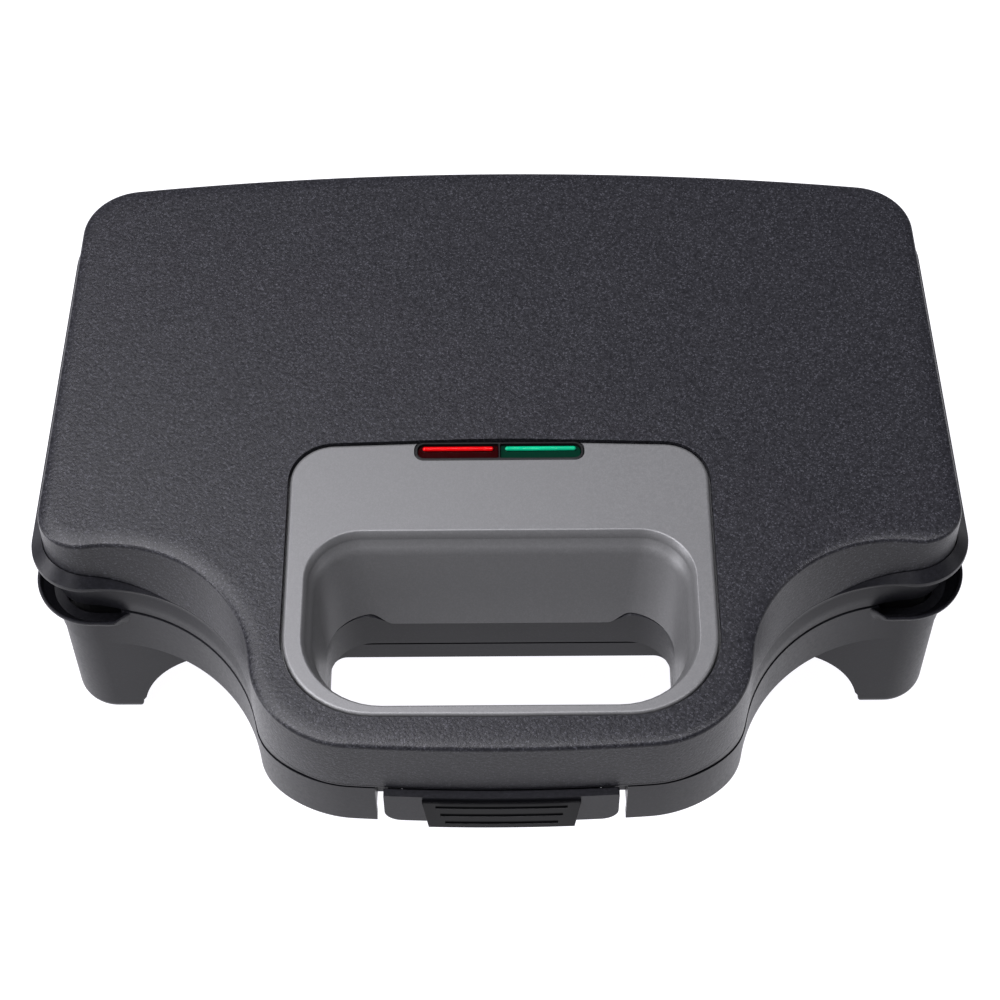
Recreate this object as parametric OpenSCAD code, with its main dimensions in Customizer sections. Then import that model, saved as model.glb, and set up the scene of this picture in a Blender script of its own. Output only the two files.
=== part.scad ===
// Sandwich toaster with a hinged lid, a see-through carry handle and a snap latch.
// Millimetres. X = 0 is the plane of symmetry, -Y is the handle side, +Z is up.
// The origin lies on the table under the middle of the overall depth.

/* [Body] */
// Room between the ends of the plates and the sides of the body
side_room = 14.5; // [14:0.5:20]
// Room between the plates and the front of the body
front_room = 9.6; // [9:0.1:14]
// Room between the plates and the back of the body
back_room = 9.9; // [9.5:0.1:16]
// How much narrower the body is at its back
rear_taper = 5.5; // [3:0.5:10]
// Plan radius of the front corners
front_corner_r = 11.5; // [9:0.5:16]
// Plan radius of the rear corners
rear_corner_r = 16; // [12:1:24]
// Plan radius of the bowed back
back_bow_r = 840; // [600:10:1400]
// Wall of the plastic shells
wall = 2.4; // [2:0.1:3]

/* [Handle] */
// How far the handle reaches in front of the body
handle_reach = 57; // [52:1:64]
// Width of the handle
handle_w = 121; // [114:1:128]
// Plan radius of the handle's front corners
handle_corner_r = 26.5; // [22:0.5:32]
// Plan radius of the hollow curve between handle and body
neck_r = 36; // [30:1:42]
// Plan radius of the same curve at the seam between lid and base
seam_neck_r = 43; // [34:1:46]
// Plan radius of the bowed handle front
front_bow_r = 520; // [400:10:900]
// How much higher the handle front lies than the body's parting line
handle_lift = 9; // [7:0.5:10]
// Length over which that rise happens
lift_run = 26; // [20:1:34]

/* [Heights] */
// Height of the body's floor above the table
leg_h = 30; // [24:1:36]
// Height of the base shell
base_h = 22; // [21.5:0.5:26]
// Height of the lid's inner frame that shows below the cover
frame_h = 10; // [9.5:0.5:13]
// Height of the lid cover
cover_h = 18; // [17.5:0.5:24]
// Height of the band under the handle
band_h = 16; // [14:0.5:18]
// Gap between lid and base
lid_gap = 0.6; // [0.4:0.1:1]
// How much lower the side rim of the base lies than its front band
rim_drop = 0.4; // [0.2:0.1:3]

/* [Edges] */
// Radius of the lid's top edge
edge_r = 1.7; // [1.2:0.1:2.4]
// Width of the zone inside that edge in which the top falls away
crown_w = 6; // [4:0.5:6.5]
// How far the top falls there
crown_h = 0.5; // [0.2:0.1:0.8]
// How much each wall of the cover leans in
draft = 0.5; // [0.2:0.1:1]
// How far the frame's lip stands out at the corners
lip_w = 3; // [1.5:0.1:4]
// How far the lip climbs up the cover at the corners
lip_rise = 6.8; // [4:0.2:8]
// How far the base rim flares at the corners
flare_w = 4; // [1.5:0.1:4.5]
// Radius at the lower inner edges of the legs
toe_r = 2.2; // [1:0.1:3]

/* [Finger opening] */
// Width of the opening through both halves
opening_w = 86; // [80:1:88]
// Depth of the opening
opening_d = 36; // [30:1:38]
// Thickness of the grip bar in front of the opening
grip_d = 13.7; // [12.5:0.1:16]
// Plan radius of the opening's rear corners in the lid
opening_r = 11; // [6:1:14]
// Plan radius of its rear corners in the base
low_opening_r = 6; // [4:1:11]
// How far the lid's lining of the opening reaches down into the base
sleeve_h = 5.5; // [2:0.5:7]
// Width of the grey insert
insert_w = 104; // [98:1:106]
// Depth of the grey insert
insert_d = 79; // [75:0.5:82]
// Gap between the insert and the cover
insert_gap = 0.5; // [0.3:0.1:0.8]
// Width of the throat where it meets the top
throat_w = 91.6; // [89:0.2:93]
// How much deeper the throat is at the top than at the bottom
throat_slope = 11; // [8:0.5:13]
// Plan radius of the throat's rear corners
throat_rear_r = 12; // [8:0.5:14]

/* [Indicator lights] */
// Length of one lens
lens_l = 20.2; // [16:0.2:24]
// Width of a lens
lens_w = 4.2; // [3:0.2:4.6]
// Dark rim around the lenses
bezel = 0.8; // [0.6:0.1:1.2]
// Diameter of a lamp bulb
lamp_d = 3.8; // [3:0.2:4]

/* [Plates] */
// Width of a cooking plate
plate_w = 200; // [190:1:212]
// Depth of a cooking plate
plate_d = 104; // [98:1:112]
// Depth of a bread pocket
pocket_depth = 8; // [6.5:0.5:8]
// Metal thickness of a plate
plate_t = 2.5; // [2:0.1:3]
// Flat edge between the pockets and the ends of the plate
end_land = 5; // [4:0.5:10]
// Flat edge between the pockets and the front and back of the plate
side_land = 6; // [5:0.5:10]
// Flat bridge between the two pairs of pockets
mid_land = 6; // [5:0.5:12]
// Width of the ridge that cuts the sandwich
ridge_w = 4; // [3:0.5:6]
// Gap between the closed plates
plate_gap = 0.5; // [0.3:0.1:1]

/* [Heating] */
// Diameter of the tube heater
heater_d = 6; // [5:0.5:6]
// Distance between the two runs of a heater
heater_pitch = 44; // [40:2:48]
// Distance of the heater's straight runs from the ends of the plate
heater_end = 36; // [33:1:45]
// Sheet thickness of the reflectors
sheet_t = 0.6; // [0.4:0.1:1]

/* [Hinge] */
// Diameter of the hinge pins
pin_d = 5; // [4:0.5:6]
// Outer diameter of the hinge eyes
eye_d = 10; // [9:0.5:12]
// Distance of the pins behind the body
hinge_off = 5.5; // [5.4:0.1:7]
// Distance between the two hinges
hinge_span = 140; // [110:2:160]
// Width of the lid's hinge eye
eye_w = 14; // [10:1:18]
// Width of each ear of the base
ear_w = 4.2; // [3:0.2:6]
// Running clearance of a pin in its eye
run_gap = 0.06; // [0.02:0.01:0.1]

/* [Latch] */
// Width of the latch
latch_w = 56; // [50:1:58]
// Gap on each side of the latch
latch_gap = 2; // [1:0.2:3]
// Height of the latch
latch_h = 11.3; // [10.5:0.1:11.6]
// Width of the thumb pad at its top
pad_w = 38; // [30:1:44]
// Diameter of the latch pin
latch_pin_d = 2.5; // [2:0.1:3]
// How far the hook reaches back under the latch
hook_reach = 2.2; // [1.8:0.1:2.4]

/* [Feet and fasteners] */
// Diameter of a foot pad
pad_d = 12; // [10:1:12]
// How far a foot pad stands out below the leg
pad_out = 0.8; // [0.5:0.1:1.5]
// Diameter of the screws
screw_d = 3; // [2.5:0.5:3.5]
// Diameter of the screw bosses
boss_d = 6; // [5.5:0.5:6.5]

/* [Hidden] */

$fn = 40;
seat = 0.1;            // play between pieces that are pressed or screwed together
far = 400;             // longer than the whole object
cut = 1;               // how far a cutting shape runs past what it cuts

// The body follows the plates
body_w = plate_w + 2 * side_room;
rear_w = body_w - rear_taper;
body_d = front_room + plate_d + back_room;

// Heights
parting_z = leg_h + base_h;
skirt_z = parting_z + frame_h;
top_z = skirt_z + cover_h;
band_z = parting_z - band_h;
base_top = parting_z - lid_gap / 2;
frame_low = parting_z + lid_gap / 2;
rim_z = base_top - rim_drop;
floor_z = leg_h + wall;
lower_rim = parting_z - plate_gap / 2 - 0.15;
plate_depth = pocket_depth + plate_t;

// Depths, from the thumb pad at the front to the hinge eyes at the back
latch_proud = 1.8;
pad_proud = 2.2;
front_reach = latch_proud + pad_proud;
back_reach = hinge_off + eye_d / 2;
total_d = front_reach + handle_reach + body_d + back_reach;
front_y = front_reach - total_d / 2;
corner_y = front_y + handle_reach;
back_y = corner_y + body_d;
hinge_y = back_y + hinge_off;
hinge_z = parting_z;

// ---------- helpers ----------
function clamp01(t) = min(1, max(0, t));
function ease(t) = let (u = clamp01(t)) u * u * (3 - 2 * u);
function bearing(v) = atan2(v.y, v.x);
function unit(v) = v / norm(v);

// Where two circles round a and b meet, on the right of the way from a to b
function meet(a, ra, b, rb) =
    let (d = norm(b - a), u = (b - a) / d, t = (ra * ra - rb * rb + d * d) / (2 * d),
         h = sqrt(ra * ra - t * t))
    a + t * u + h * [u.y, -u.x];

// Stations [x, y, outward x, outward y] along an arc; bend is -1 where the outline turns inwards
function arc(c, r, a0, a1, n, bend = 1, last = 0) = [
    for (i = [0:n - 1 + last])
        let (a = a0 + (a1 - a0) * i / n)
        [c.x + r * cos(a), c.y + r * sin(a), bend * cos(a), bend * sin(a)]
];

// A right half from the front middle to the back middle, closed with its mirror image
function both_halves(h) = concat(h, [
    for (i = [len(h) - 2:-1:1]) [-h[i][0], h[i][1], -h[i][2], h[i][3]]
]);
function plan(stations, d) = [for (s = stations) [s[0] + d * s[2], s[1] + d * s[3]]];
function ring(stations, d, z) = [for (s = stations) [s[0] + d * s[2], s[1] + d * s[3], z]];

// A convex outline with each side moved inwards by d
function inset(p, d) = let (n = len(p)) [
    for (i = [0:n - 1])
        let (a = unit(p[i] - p[(i + n - 1) % n]), b = unit(p[(i + 1) % n] - p[i]),
             na = [-a.y, a.x], nb = [-b.y, b.x])
        p[i] + d * (na + nb) / (1 + na * nb)
];

// A convex outline with its corners rounded, n steps per corner
function rounded(p, radii, n) = let (m = len(p)) [
    for (i = [0:m - 1])
        let (a = unit(p[i] - p[(i + m - 1) % m]), b = unit(p[(i + 1) % m] - p[i]),
             na = [-a.y, a.x], nb = [-b.y, b.x], c = p[i] + radii[i] * (na + nb) / (1 + na * nb),
             a0 = bearing(-na), turn = acos(min(1, a * b)))
        for (k = [0:n]) c + radii[i] * [cos(a0 + turn * k / n), sin(a0 + turn * k / n)]
];
function at_z(points, z) = [for (p = points) [p.x, p.y, z]];
function box_plan(x0, x1, y0, y1) = [[x0, y0], [x1, y0], [x1, y1], [x0, y1]];

// Two triangles for each gap between neighbouring rings
function skin_faces(n, rows) = [
    for (k = [0:rows - 1], i = [0:n - 1])
        let (j = (i + 1) % n, lo = k * n, hi = (k + 1) * n)
        each [[lo + i, hi + i, hi + j], [lo + i, hi + j, lo + j]]
];

function middle(ring) = [for (k = [0:2]) sum([for (p = ring) p[k]]) / len(ring)];
function sum(v) = v * [for (x = v) 1];

// A closed solid through a stack of rings, with a flat cap round the middle of each end
module loft(rings) {
    n = len(rings[0]);
    rows = len(rings) - 1;
    low = n * (rows + 1);
    polyhedron(
        points = concat([for (r = rings) each r], [middle(rings[0]), middle(rings[rows])]),
        faces = concat([for (i = [0:n - 1]) [low, i, (i + 1) % n]],
                       [for (i = [0:n - 1]) [low + 1, rows * n + (i + 1) % n, rows * n + i]],
                       skin_faces(n, rows)),
        convexity = 10);
}

// A ring-shaped solid whose section closes on itself
module hoop(rings) {
    n = len(rings[0]);
    closed = concat(rings, [rings[0]]);
    total = n * len(rings);
    polyhedron(
        points = [for (r = rings) each r],
        faces = [for (f = skin_faces(n, len(rings))) [for (v = f) v % total]],
        convexity = 10);
}

module slab(points, z0, z1) {
    translate([0, 0, z0]) linear_extrude(z1 - z0) polygon(points);
}
module box(x0, x1, y0, y1, z0, z1) {
    translate([x0, y0, z0]) cube([x1 - x0, y1 - y0, z1 - z0]);
}
// A side view [y, z] drawn out along X from x0 to x1
module side_slab(points, x0, x1) {
    translate([x0, 0, 0]) rotate([90, 0, 90]) linear_extrude(x1 - x0) polygon(points);
}
// A front view [x, z] drawn out along Y from y0 to y1
module front_slab(points, y0, y1) {
    translate([0, y1, 0]) rotate([90, 0, 0]) linear_extrude(y1 - y0) polygon(points);
}
module rod(x0, x1, y, z, r) {
    translate([x0, y, z]) rotate([0, 90, 0]) cylinder(r = r, h = x1 - x0);
}
module rod_y(p, y0, y1, z, r) {
    translate([p.x, p.y + y0, z]) rotate([-90, 0, 0]) cylinder(r = r, h = y1 - y0);
}
module post(p, z0, z1, r) {
    translate([p.x, p.y, z0]) cylinder(r = r, h = z1 - z0);
}
module both_sides() {
    children();
    mirror([1, 0, 0]) children();
}

// ---------- outlines seen from above ----------
front_c = [0, front_y + front_bow_r];
lobe_x = handle_w / 2 - handle_corner_r;
lobe_c = [lobe_x, front_c.y - sqrt(pow(front_bow_r - handle_corner_r, 2) - lobe_x * lobe_x)];
corner_c = [body_w / 2 - front_corner_r, corner_y + front_corner_r];
back_c = [0, back_y - back_bow_r];
rear_x = rear_w / 2 - rear_corner_r;
rear_c = [rear_x, back_c.y + sqrt(pow(back_bow_r - rear_corner_r, 2) - rear_x * rear_x)];
side_angle = bearing(rear_c - corner_c)
    - acos((front_corner_r - rear_corner_r) / norm(rear_c - corner_c));
lobe_start = bearing(lobe_c - front_c);
rear_end = bearing(rear_c - back_c);

rear_half = concat(
    arc(rear_c, rear_corner_r, side_angle, rear_end, 7),
    arc(back_c, back_bow_r, rear_end, 90, 6, last = 1));

// The whole outline of lid and base, with the handle, for a neck of the given radius
function outline_at(neck) =
    let (c = meet(lobe_c, handle_corner_r + neck, corner_c, neck + front_corner_r),
         lobe_end = bearing(c - lobe_c), neck_end = bearing(corner_c - c))
    both_halves(concat(
        arc(front_c, front_bow_r, -90, lobe_start, 4),
        arc(lobe_c, handle_corner_r, lobe_start, lobe_end, 8),
        arc(c, neck, lobe_end + 180, neck_end, 10, bend = -1),
        arc(corner_c, front_corner_r, neck_end - 180, side_angle, 8, last = 1),
        rear_half));
// The walls lean outwards in the neck, from the lid's top down to the seam
outline = outline_at(neck_r);
skirt_outline = outline_at(neck_r + (seam_neck_r - neck_r) * cover_h / (cover_h + frame_h));
seam_outline = outline_at(seam_neck_r);

// The body alone, straight across its front
body_outline = both_halves(concat(
    [[0, corner_y, 0, -1]],
    arc(corner_c, front_corner_r, -90, side_angle, 8, last = 1),
    rear_half));

// How far along the way from a to b the station lies from the plane of symmetry
function outwards(s, a, b) = ease((abs(s[0]) - a) / (b - a));
// Rise of the parting line towards the handle front
function lift(y) = handle_lift * ease((front_y + lift_run - y) / lift_run);
lift_steps = [for (i = [12:-1:0]) front_y + lift_run * i / 12];

// A slab across the whole width that follows the rise, between two heights
module lifted_slab(z0, z1) {
    side_slab(concat(
        [[back_y + cut, z0]], [[back_y + cut, z1]],
        [for (y = lift_steps) [y, z1 + lift(y)]], [[front_y - cut, z1 + handle_lift]],
        [[front_y - cut, z0 + handle_lift]],
        [for (i = [len(lift_steps) - 1:-1:0]) [lift_steps[i], z0 + lift(lift_steps[i])]]),
        -body_w, body_w);
}

// Finger opening
opening_front = front_y + grip_d;
opening_back = opening_front + opening_d;
opening_front_r = 16;
lining_t = 2.2;
function opening(grow, rear_r = opening_r) = rounded(
    inset(box_plan(-opening_w / 2, opening_w / 2, opening_front, opening_back), -grow),
    [opening_front_r + grow, opening_front_r + grow, rear_r + grow, rear_r + grow], 6);

// Grey insert: a bowed back and front between straight sides
insert_front = front_y + 10;
insert_back = insert_front + insert_d;
insert_bow = 1.6;
function insert_plan(grow) = rounded(
    inset([
        [0, insert_front - insert_bow / 4], [insert_w / 2, insert_front],
        [insert_w / 2, insert_back - insert_bow], [0, insert_back],
        [-insert_w / 2, insert_back - insert_bow], [-insert_w / 2, insert_front]], -grow),
    [400, 22 + grow, 11 + grow, 300, 11 + grow, 22 + grow], 6);

// ---------- lid ----------
cover_in = wall + draft;

module lid_cover() {
    color("#46454a") difference() {
        union() {
            loft(concat(
                [ring(outline, -cover_in - 1, top_z - wall),
                 ring(outline, -cover_in, top_z - wall - 1),
                 ring(skirt_outline, -wall, skirt_z),
                 ring(skirt_outline, 0, skirt_z)],
                [for (a = [0:20:80])
                    ring(outline, -draft - edge_r * (1 - cos(a)), top_z - crown_h - edge_r * (1 - sin(a)))],
                [for (u = [0:0.25:1])
                    ring(outline, -draft - edge_r - crown_w * u, top_z - crown_h * pow(1 - u, 2))]));
            for (p = lid_screw_places) post(p, lid_boss_z, top_z - wall + seat, boss_d / 2);
        }
        slab(insert_plan(insert_gap), top_z - wall - cut, top_z + cut);
        for (p = lid_screw_places) post(p, lid_boss_z - cut, lid_boss_z + 7, screw_d / 2 - seat);
    }
}

deck_t = 2;
deck_z = lower_rim + plate_gap + plate_t + seat;
lid_boss_z = deck_z + deck_t + seat;
screw_x = plate_w / 2 + 3.3;
head_r = 2.6;
lid_screw_places = [
    for (x = [-1, 1]) each [
        [x * screw_x, corner_y + 24], [x * screw_x, back_y - 30], [x * 34, back_y - 6.8]
    ]
];
plate_y = corner_y + front_room + plate_d / 2;
function plate_plan(grow) = rounded(
    inset(box_plan(-plate_w / 2, plate_w / 2, plate_y - plate_d / 2, plate_y + plate_d / 2), -grow),
    [8 + grow, 8 + grow, 8 + grow, 8 + grow], 5);

throat_low = skirt_z - 5;      // tip of the tongue in the middle of the throat's back wall
throat_rim = throat_low + 2.5; // lower edge of the throat elsewhere
tongue_w = 56;

// The wall of the frame: an S-shaped section that carries the lip and takes the cover's edge
function frame_ring(stations, d0, d_corner, d_lip, z0, z_lift, z_lip) = [
    for (s = stations)
        let (belly = outwards(s, body_w / 2 - 20.5, body_w / 2 - 10.5),
             lip = outwards(s, body_w / 2 - 36.5, body_w / 2 - 2.5),
             d = d0 + d_corner * belly + d_lip * lip)
        [s[0] + d * s[2], s[1] + d * s[3], z0 + z_lift * lift(s[1]) + z_lip * lip]
];
edge_z = skirt_z - 0.1;
module frame_wall() {
    hoop([
        frame_ring(seam_outline, -wall - 0.8, -1, 0, frame_low, 1, 0),
        frame_ring(seam_outline, -0.4, -1, 0, frame_low, 1, 0),
        frame_ring(seam_outline, -0.25, -0.3, 0, frame_low + 5, 0.5, 0),
        frame_ring(skirt_outline, -0.2, 0, 0, edge_z - 0.6, 0, 0),
        frame_ring(skirt_outline, 0.15, 0, lip_w, edge_z - 0.4, 0, lip_rise / 2),
        frame_ring(skirt_outline, 0.15, 0, lip_w, edge_z - 0.15, 0, lip_rise * 0.62),
        frame_ring(skirt_outline, 0.1, 0, 0, edge_z, 0, lip_rise),
        frame_ring(skirt_outline, 0.05, 0, 0, edge_z - 0.05, 0, 0),
        frame_ring(skirt_outline, -wall - 0.3, 0, 0, edge_z - 0.05, 0, 0),
        frame_ring(outline, -wall - 0.4, 0, 0, edge_z + 4, 0, 0),
        frame_ring(outline, -wall - 2, 0, 0, edge_z + 4, 0, 0),
    ]);
}

eye_in = [hinge_span / 2 - eye_w / 2, hinge_span / 2 + eye_w / 2];
function wall_y(x) = back_y - x * x / (2 * back_bow_r) - 1.4;   // inside the bowed rear wall

module lid_frame() {
    color("#38373b") difference() {
        union() {
            frame_wall();
            intersection() {
                slab(plan(outline_at(seam_neck_r - 1), -wall - 0.7), 0, far);
                lifted_slab(deck_z, deck_z + deck_t);
            }
            difference() {
                intersection() {
                    slab(opening(lining_t), 0, far);
                    lifted_slab(frame_low - sleeve_h, throat_rim - 0.3);
                }
                box(-tongue_w / 2 - 4, tongue_w / 2 + 4, opening_back - 4, opening_back + 9,
                    throat_low - 0.3, top_z);
            }
            both_sides() {
                rod(eye_in[0], eye_in[1], hinge_y, hinge_z, eye_d / 2);
                side_slab([
                    [wall_y(hinge_span / 2), frame_low + 1], [hinge_y - eye_d / 2, frame_low + 1],
                    [hinge_y - 1, hinge_z + 0.5], [hinge_y + eye_d / 2 - 1, hinge_z + 2.5],
                    [hinge_y + 2, skirt_z - 2], [wall_y(hinge_span / 2), skirt_z - 1]],
                    eye_in[0], eye_in[1]);
                latch_ear();
            }
        }
        slab(opening(0), 0, far);
        slab(plate_plan(-3), 0, top_z);
        both_sides() rod(eye_in[0] - cut, eye_in[1] + cut, hinge_y, hinge_z, pin_d / 2 + run_gap);
        rod(-latch_w / 2, latch_w / 2, latch_y, latch_z, latch_pin_d / 2);
        for (p = lid_screw_places) {
            post(p, deck_z - cut, deck_z + deck_t + cut, screw_d / 2 + 0.2);
            post(p, lid_boss_z - seat / 2, skirt_z + 5, boss_d / 2 + 0.3);
        }
    }
}

module lid_screws() {
    color("#9a9a9c") for (p = lid_screw_places) {
        post(p, deck_z - 1.8, deck_z, head_r);
        post(p, deck_z - 0.5, lid_boss_z + 6, screw_d / 2 - seat);
    }
}

// Grey insert with the throat of the finger opening
throat_front_r = 18;
function throat(grow, t) = let (w = opening_w + (throat_w - opening_w) * t - 1.2 * (1 - t)) rounded(
    inset(box_plan(-w / 2, w / 2, opening_front + 0.3, opening_back - 0.5 + throat_slope * t), -grow),
    [throat_front_r + grow, throat_front_r + grow, throat_rear_r + grow, throat_rear_r + grow], 6);
insert_t = 2.3;
insert_top = top_z - 0.2;

module handle_insert() {
    color("#8a8b8e") difference() {
        union() {
            loft([
                at_z(insert_plan(3), insert_top - insert_t - 1.8),
                at_z(insert_plan(3), insert_top - insert_t - 0.2),
                at_z(insert_plan(0), insert_top - insert_t - 0.1),
                at_z(insert_plan(0), insert_top - 0.8),
                at_z(insert_plan(-0.3), insert_top - 0.2),
                at_z(insert_plan(-0.8), insert_top)]);
            difference() {
                loft([
                    at_z(throat(2, 0), throat_low),
                    at_z(throat(2, 0.9), insert_top - insert_t)]);
                difference() {
                    lifted_slab(0, throat_rim);
                    front_slab([
                        [-tongue_w / 2, 0], [tongue_w / 2, 0], [tongue_w / 2, throat_low],
                        [tongue_w / 2 + 3.5, throat_rim + cut], [-tongue_w / 2 - 3.5, throat_rim + cut],
                        [-tongue_w / 2, throat_low]],
                        opening_back - 4, far);
                }
            }
        }
        loft([
            at_z(throat(0, -0.06), throat_low - cut),
            at_z(throat(0, 0.80), insert_top - 3.6),
            at_z(throat(0.3, 0.93), insert_top - 1.3),
            at_z(throat(1.0, 0.98), insert_top - 0.3),
            at_z(throat(2.2, 1), insert_top + 0.3)]);
        slab(bezel_plan(seat), 0, far);
        box(-lens_l, lens_l, lens_y, insert_back + cut, insert_top - insert_t, far);
    }
}

// Indicator lights: two lenses end to end in a dark holder at the insert's back edge
lens_y = insert_back - lens_w / 2 - bezel - 0.35;
lens_gap = 0.5;
lens_r = 1.8;
bezel_r = 2.4;
function bezel_plan(grow) = let (l = lens_l + lens_gap / 2 + bezel + grow, w = lens_w / 2 + bezel + grow)
    rounded(box_plan(-l, l, lens_y - w, lens_y + w), [1, 1, 1, 1] * (bezel_r + grow), 4);
function lens_plan(grow) = let (w = lens_w / 2 + grow)
    rounded(box_plan(lens_gap / 2 - grow, lens_gap / 2 + lens_l + grow, lens_y - w, lens_y + w),
            [0.4, lens_r, lens_r, 0.4], 4);
lens_h = 2.5;
lamp_z = top_z - 5.1;
holder_z = top_z - 7.9;

module lens_holder() {
    color("#1b1b1d") difference() {
        union() {
            slab(bezel_plan(0), holder_z, top_z - 0.3);
            slab(bezel_plan(2), holder_z, insert_top - insert_t - 1.9);
        }
        both_sides() {
            slab(lens_plan(seat), top_z - lens_h - 0.3, top_z + cut);
            box(lens_gap / 2 + 1.5, lens_gap / 2 + lens_l - 1.5, lens_y - lamp_d / 2 - seat,
                lens_y + lamp_d / 2 + seat, lamp_z - lamp_d / 2 - seat, top_z - lens_h - 0.3 + cut / 2);
        }
    }
}
module lens(shade) {
    color(shade) slab(lens_plan(0), top_z - lens_h, top_z);
}
module power_lens() { mirror([1, 0, 0]) lens("#b3141a"); }
module ready_lens() { lens("#12a06a"); }

module lamp() {
    color("#e8d9c0") {
        rod(lens_gap / 2 + 3, lens_gap / 2 + 14, lens_y, lamp_z, lamp_d / 2 - seat);
        rod(lens_gap / 2 + 14, lens_gap / 2 + lens_l - 1.7, lens_y, lamp_z, 0.5);
    }
}
module power_lamp() { mirror([1, 0, 0]) lamp(); }
module ready_lamp() { lamp(); }

// ---------- cooking plates ----------
pocket_w = (plate_w - mid_land) / 2 - end_land;
pocket_d = plate_d - 2 * side_land;
pocket_x = (mid_land + pocket_w) / 2;

// The four pocket triangles: each square is cut from its outer front to its inner back corner
function square_corners(side) = let (w = pocket_w / 2, d = pocket_d / 2, c = [side * pocket_x, plate_y])
    [c + [-w, -d], c + [w, -d], c + [w, d], c + [-w, d]];
function shifted(tri, edge, d) =
    let (u = unit(tri[(edge + 1) % 3] - tri[edge]), n = [-u.y, u.x],
         a = tri[edge], b = tri[(edge + 1) % 3], c = tri[(edge + 2) % 3],
         ka = d / (n * unit(c - a)), kb = d / (n * unit(c - b)))
    [for (i = [0:2]) i == edge ? a + ka * unit(c - a)
        : i == (edge + 1) % 3 ? b + kb * unit(c - b) : c];
pockets = [
    for (side = [-1, 1])
        let (q = square_corners(side))
        each side > 0
            ? [shifted([q[1], q[2], q[3]], 2, ridge_w / 2), shifted([q[3], q[0], q[1]], 2, ridge_w / 2)]
            : [shifted([q[0], q[1], q[2]], 2, ridge_w / 2), shifted([q[2], q[3], q[0]], 2, ridge_w / 2)]
];
function pocket_ring(tri, d, r, z) = at_z(rounded(inset(tri, d), [r, r, r], 4), z);

// A plate with its cooking face up at z = 0
module cooking_plate() {
    difference() {
        union() {
            slab(plate_plan(0), -plate_t, 0);
            for (t = pockets) loft([
                pocket_ring(t, 5.5, 6, -plate_depth),
                pocket_ring(t, 2, 8, -plate_depth + 2.5),
                pocket_ring(t, -1.2, 9, -plate_t / 2)]);
        }
        for (t = pockets) loft([
            pocket_ring(t, 8, 4, -pocket_depth),
            pocket_ring(t, 4.5, 6, -pocket_depth + 1.6),
            pocket_ring(t, 1.2, 7, -1),
            pocket_ring(t, 0, 8, 0.2)]);
    }
    // Studs that the reflector is screwed to
    difference() {
        for (p = plate_screw_places) post(p, reflector_z + seat, -plate_t / 2, 2.8);
        for (p = plate_screw_places) post(p, reflector_z - cut, reflector_z + 9, screw_d / 2 - seat);
    }
}
plate_screw_places = [for (y = [-1, 1]) [0, plate_y + y * 34]];

module lower_plate() {
    color("#2b2b2d") translate([0, 0, lower_rim]) cooking_plate();
}
module upper_plate() {
    color("#2b2b2d") flipped() cooking_plate();
}
// Turns a piece drawn under a face-up plate over to lie above the upper plate
module flipped() {
    translate([0, 0, lower_rim + plate_gap]) mirror([0, 0, 1]) children();
}

// Pieces behind a plate, drawn below a cooking face at z = 0
heater_z = -plate_depth - heater_d / 2 - seat;
heater_run = plate_w - 2 * heater_end;
heater_x = -heater_run / 2 - 8;
wire_x = heater_x - 13;
module heater() {
    r = heater_d / 2;
    color("#8d8a86") {
        for (y = [-1, 1]) {
            run_y = plate_y + y * heater_pitch / 2;
            rod(heater_x, heater_x + heater_run, run_y, heater_z, r);
            rod(heater_x - 9, heater_x, run_y, heater_z, 1.6);
        }
        translate([heater_x + heater_run, plate_y, heater_z]) rotate([0, 0, -90])
            rotate_extrude(angle = 180) translate([heater_pitch / 2, 0]) circle(r = r);
    }
}
clip_w = 8;
clip_foot = 4.4;
module heater_clip() {
    r = heater_d / 2;
    strap = sheet_t + seat;
    x = clip_w / 2;
    difference() {
        union() {
            intersection() {
                rod(-x, x, 0, 0, r + strap);
                box(-x, x, -heater_d, heater_d, -r - strap + 0.2, heater_d);
            }
            box(-x, x, -r - strap, r + strap, 0, r + seat);
            box(-x, x, -r - clip_foot, r + clip_foot, r + seat - sheet_t, r + seat);
        }
        rod(-x - cut, x + cut, 0, 0, r + seat / 2);
        box(-x - cut, x + cut, -r - seat / 2, r + seat / 2, 0, heater_d);
    }
}
module heater_clips() {
    color("#b5b5b7") for (x = [heater_x + 12, heater_x + heater_run - 44], y = [-1, 1])
        translate([x, plate_y + y * heater_pitch / 2, heater_z]) heater_clip();
}

// Tray behind the heater; its rim lies against the frame, at the given height below the cooking face
reflector_z = -(lower_rim - floor_z) + 1.4 + sheet_t;
module reflector(rim) {
    color("#c9c9c6") difference() {
        union() {
            slab(plate_plan(-4.4), reflector_z - sheet_t, rim);
            slab(plate_plan(-0.5), rim - sheet_t, rim);
        }
        slab(plate_plan(-4.4 - sheet_t), reflector_z, far);
        for (p = plate_screw_places) post(p, -far, 0, screw_d / 2 + 0.2);
        for (y = [-1, 1]) {
            post([wire_x, plate_y + y * heater_pitch / 2], -far, 0, 1.6);
            rod(-far, wire_x, plate_y + y * heater_pitch / 2, heater_z, 1.6);
        }
        rod_y([5.5, plate_y], 0, far, heater_z, 1.6);
    }
}
module lower_heater() { translate([0, 0, lower_rim]) heater(); }
module upper_heater() { flipped() heater(); }
module lower_heater_clips() { translate([0, 0, lower_rim]) heater_clips(); }
module upper_heater_clips() { flipped() heater_clips(); }
module lower_reflector() { translate([0, 0, lower_rim]) reflector(base_low - seat - lower_rim); }
module upper_reflector() { flipped() reflector(-plate_t - deck_t - 2 * seat); }

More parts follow.
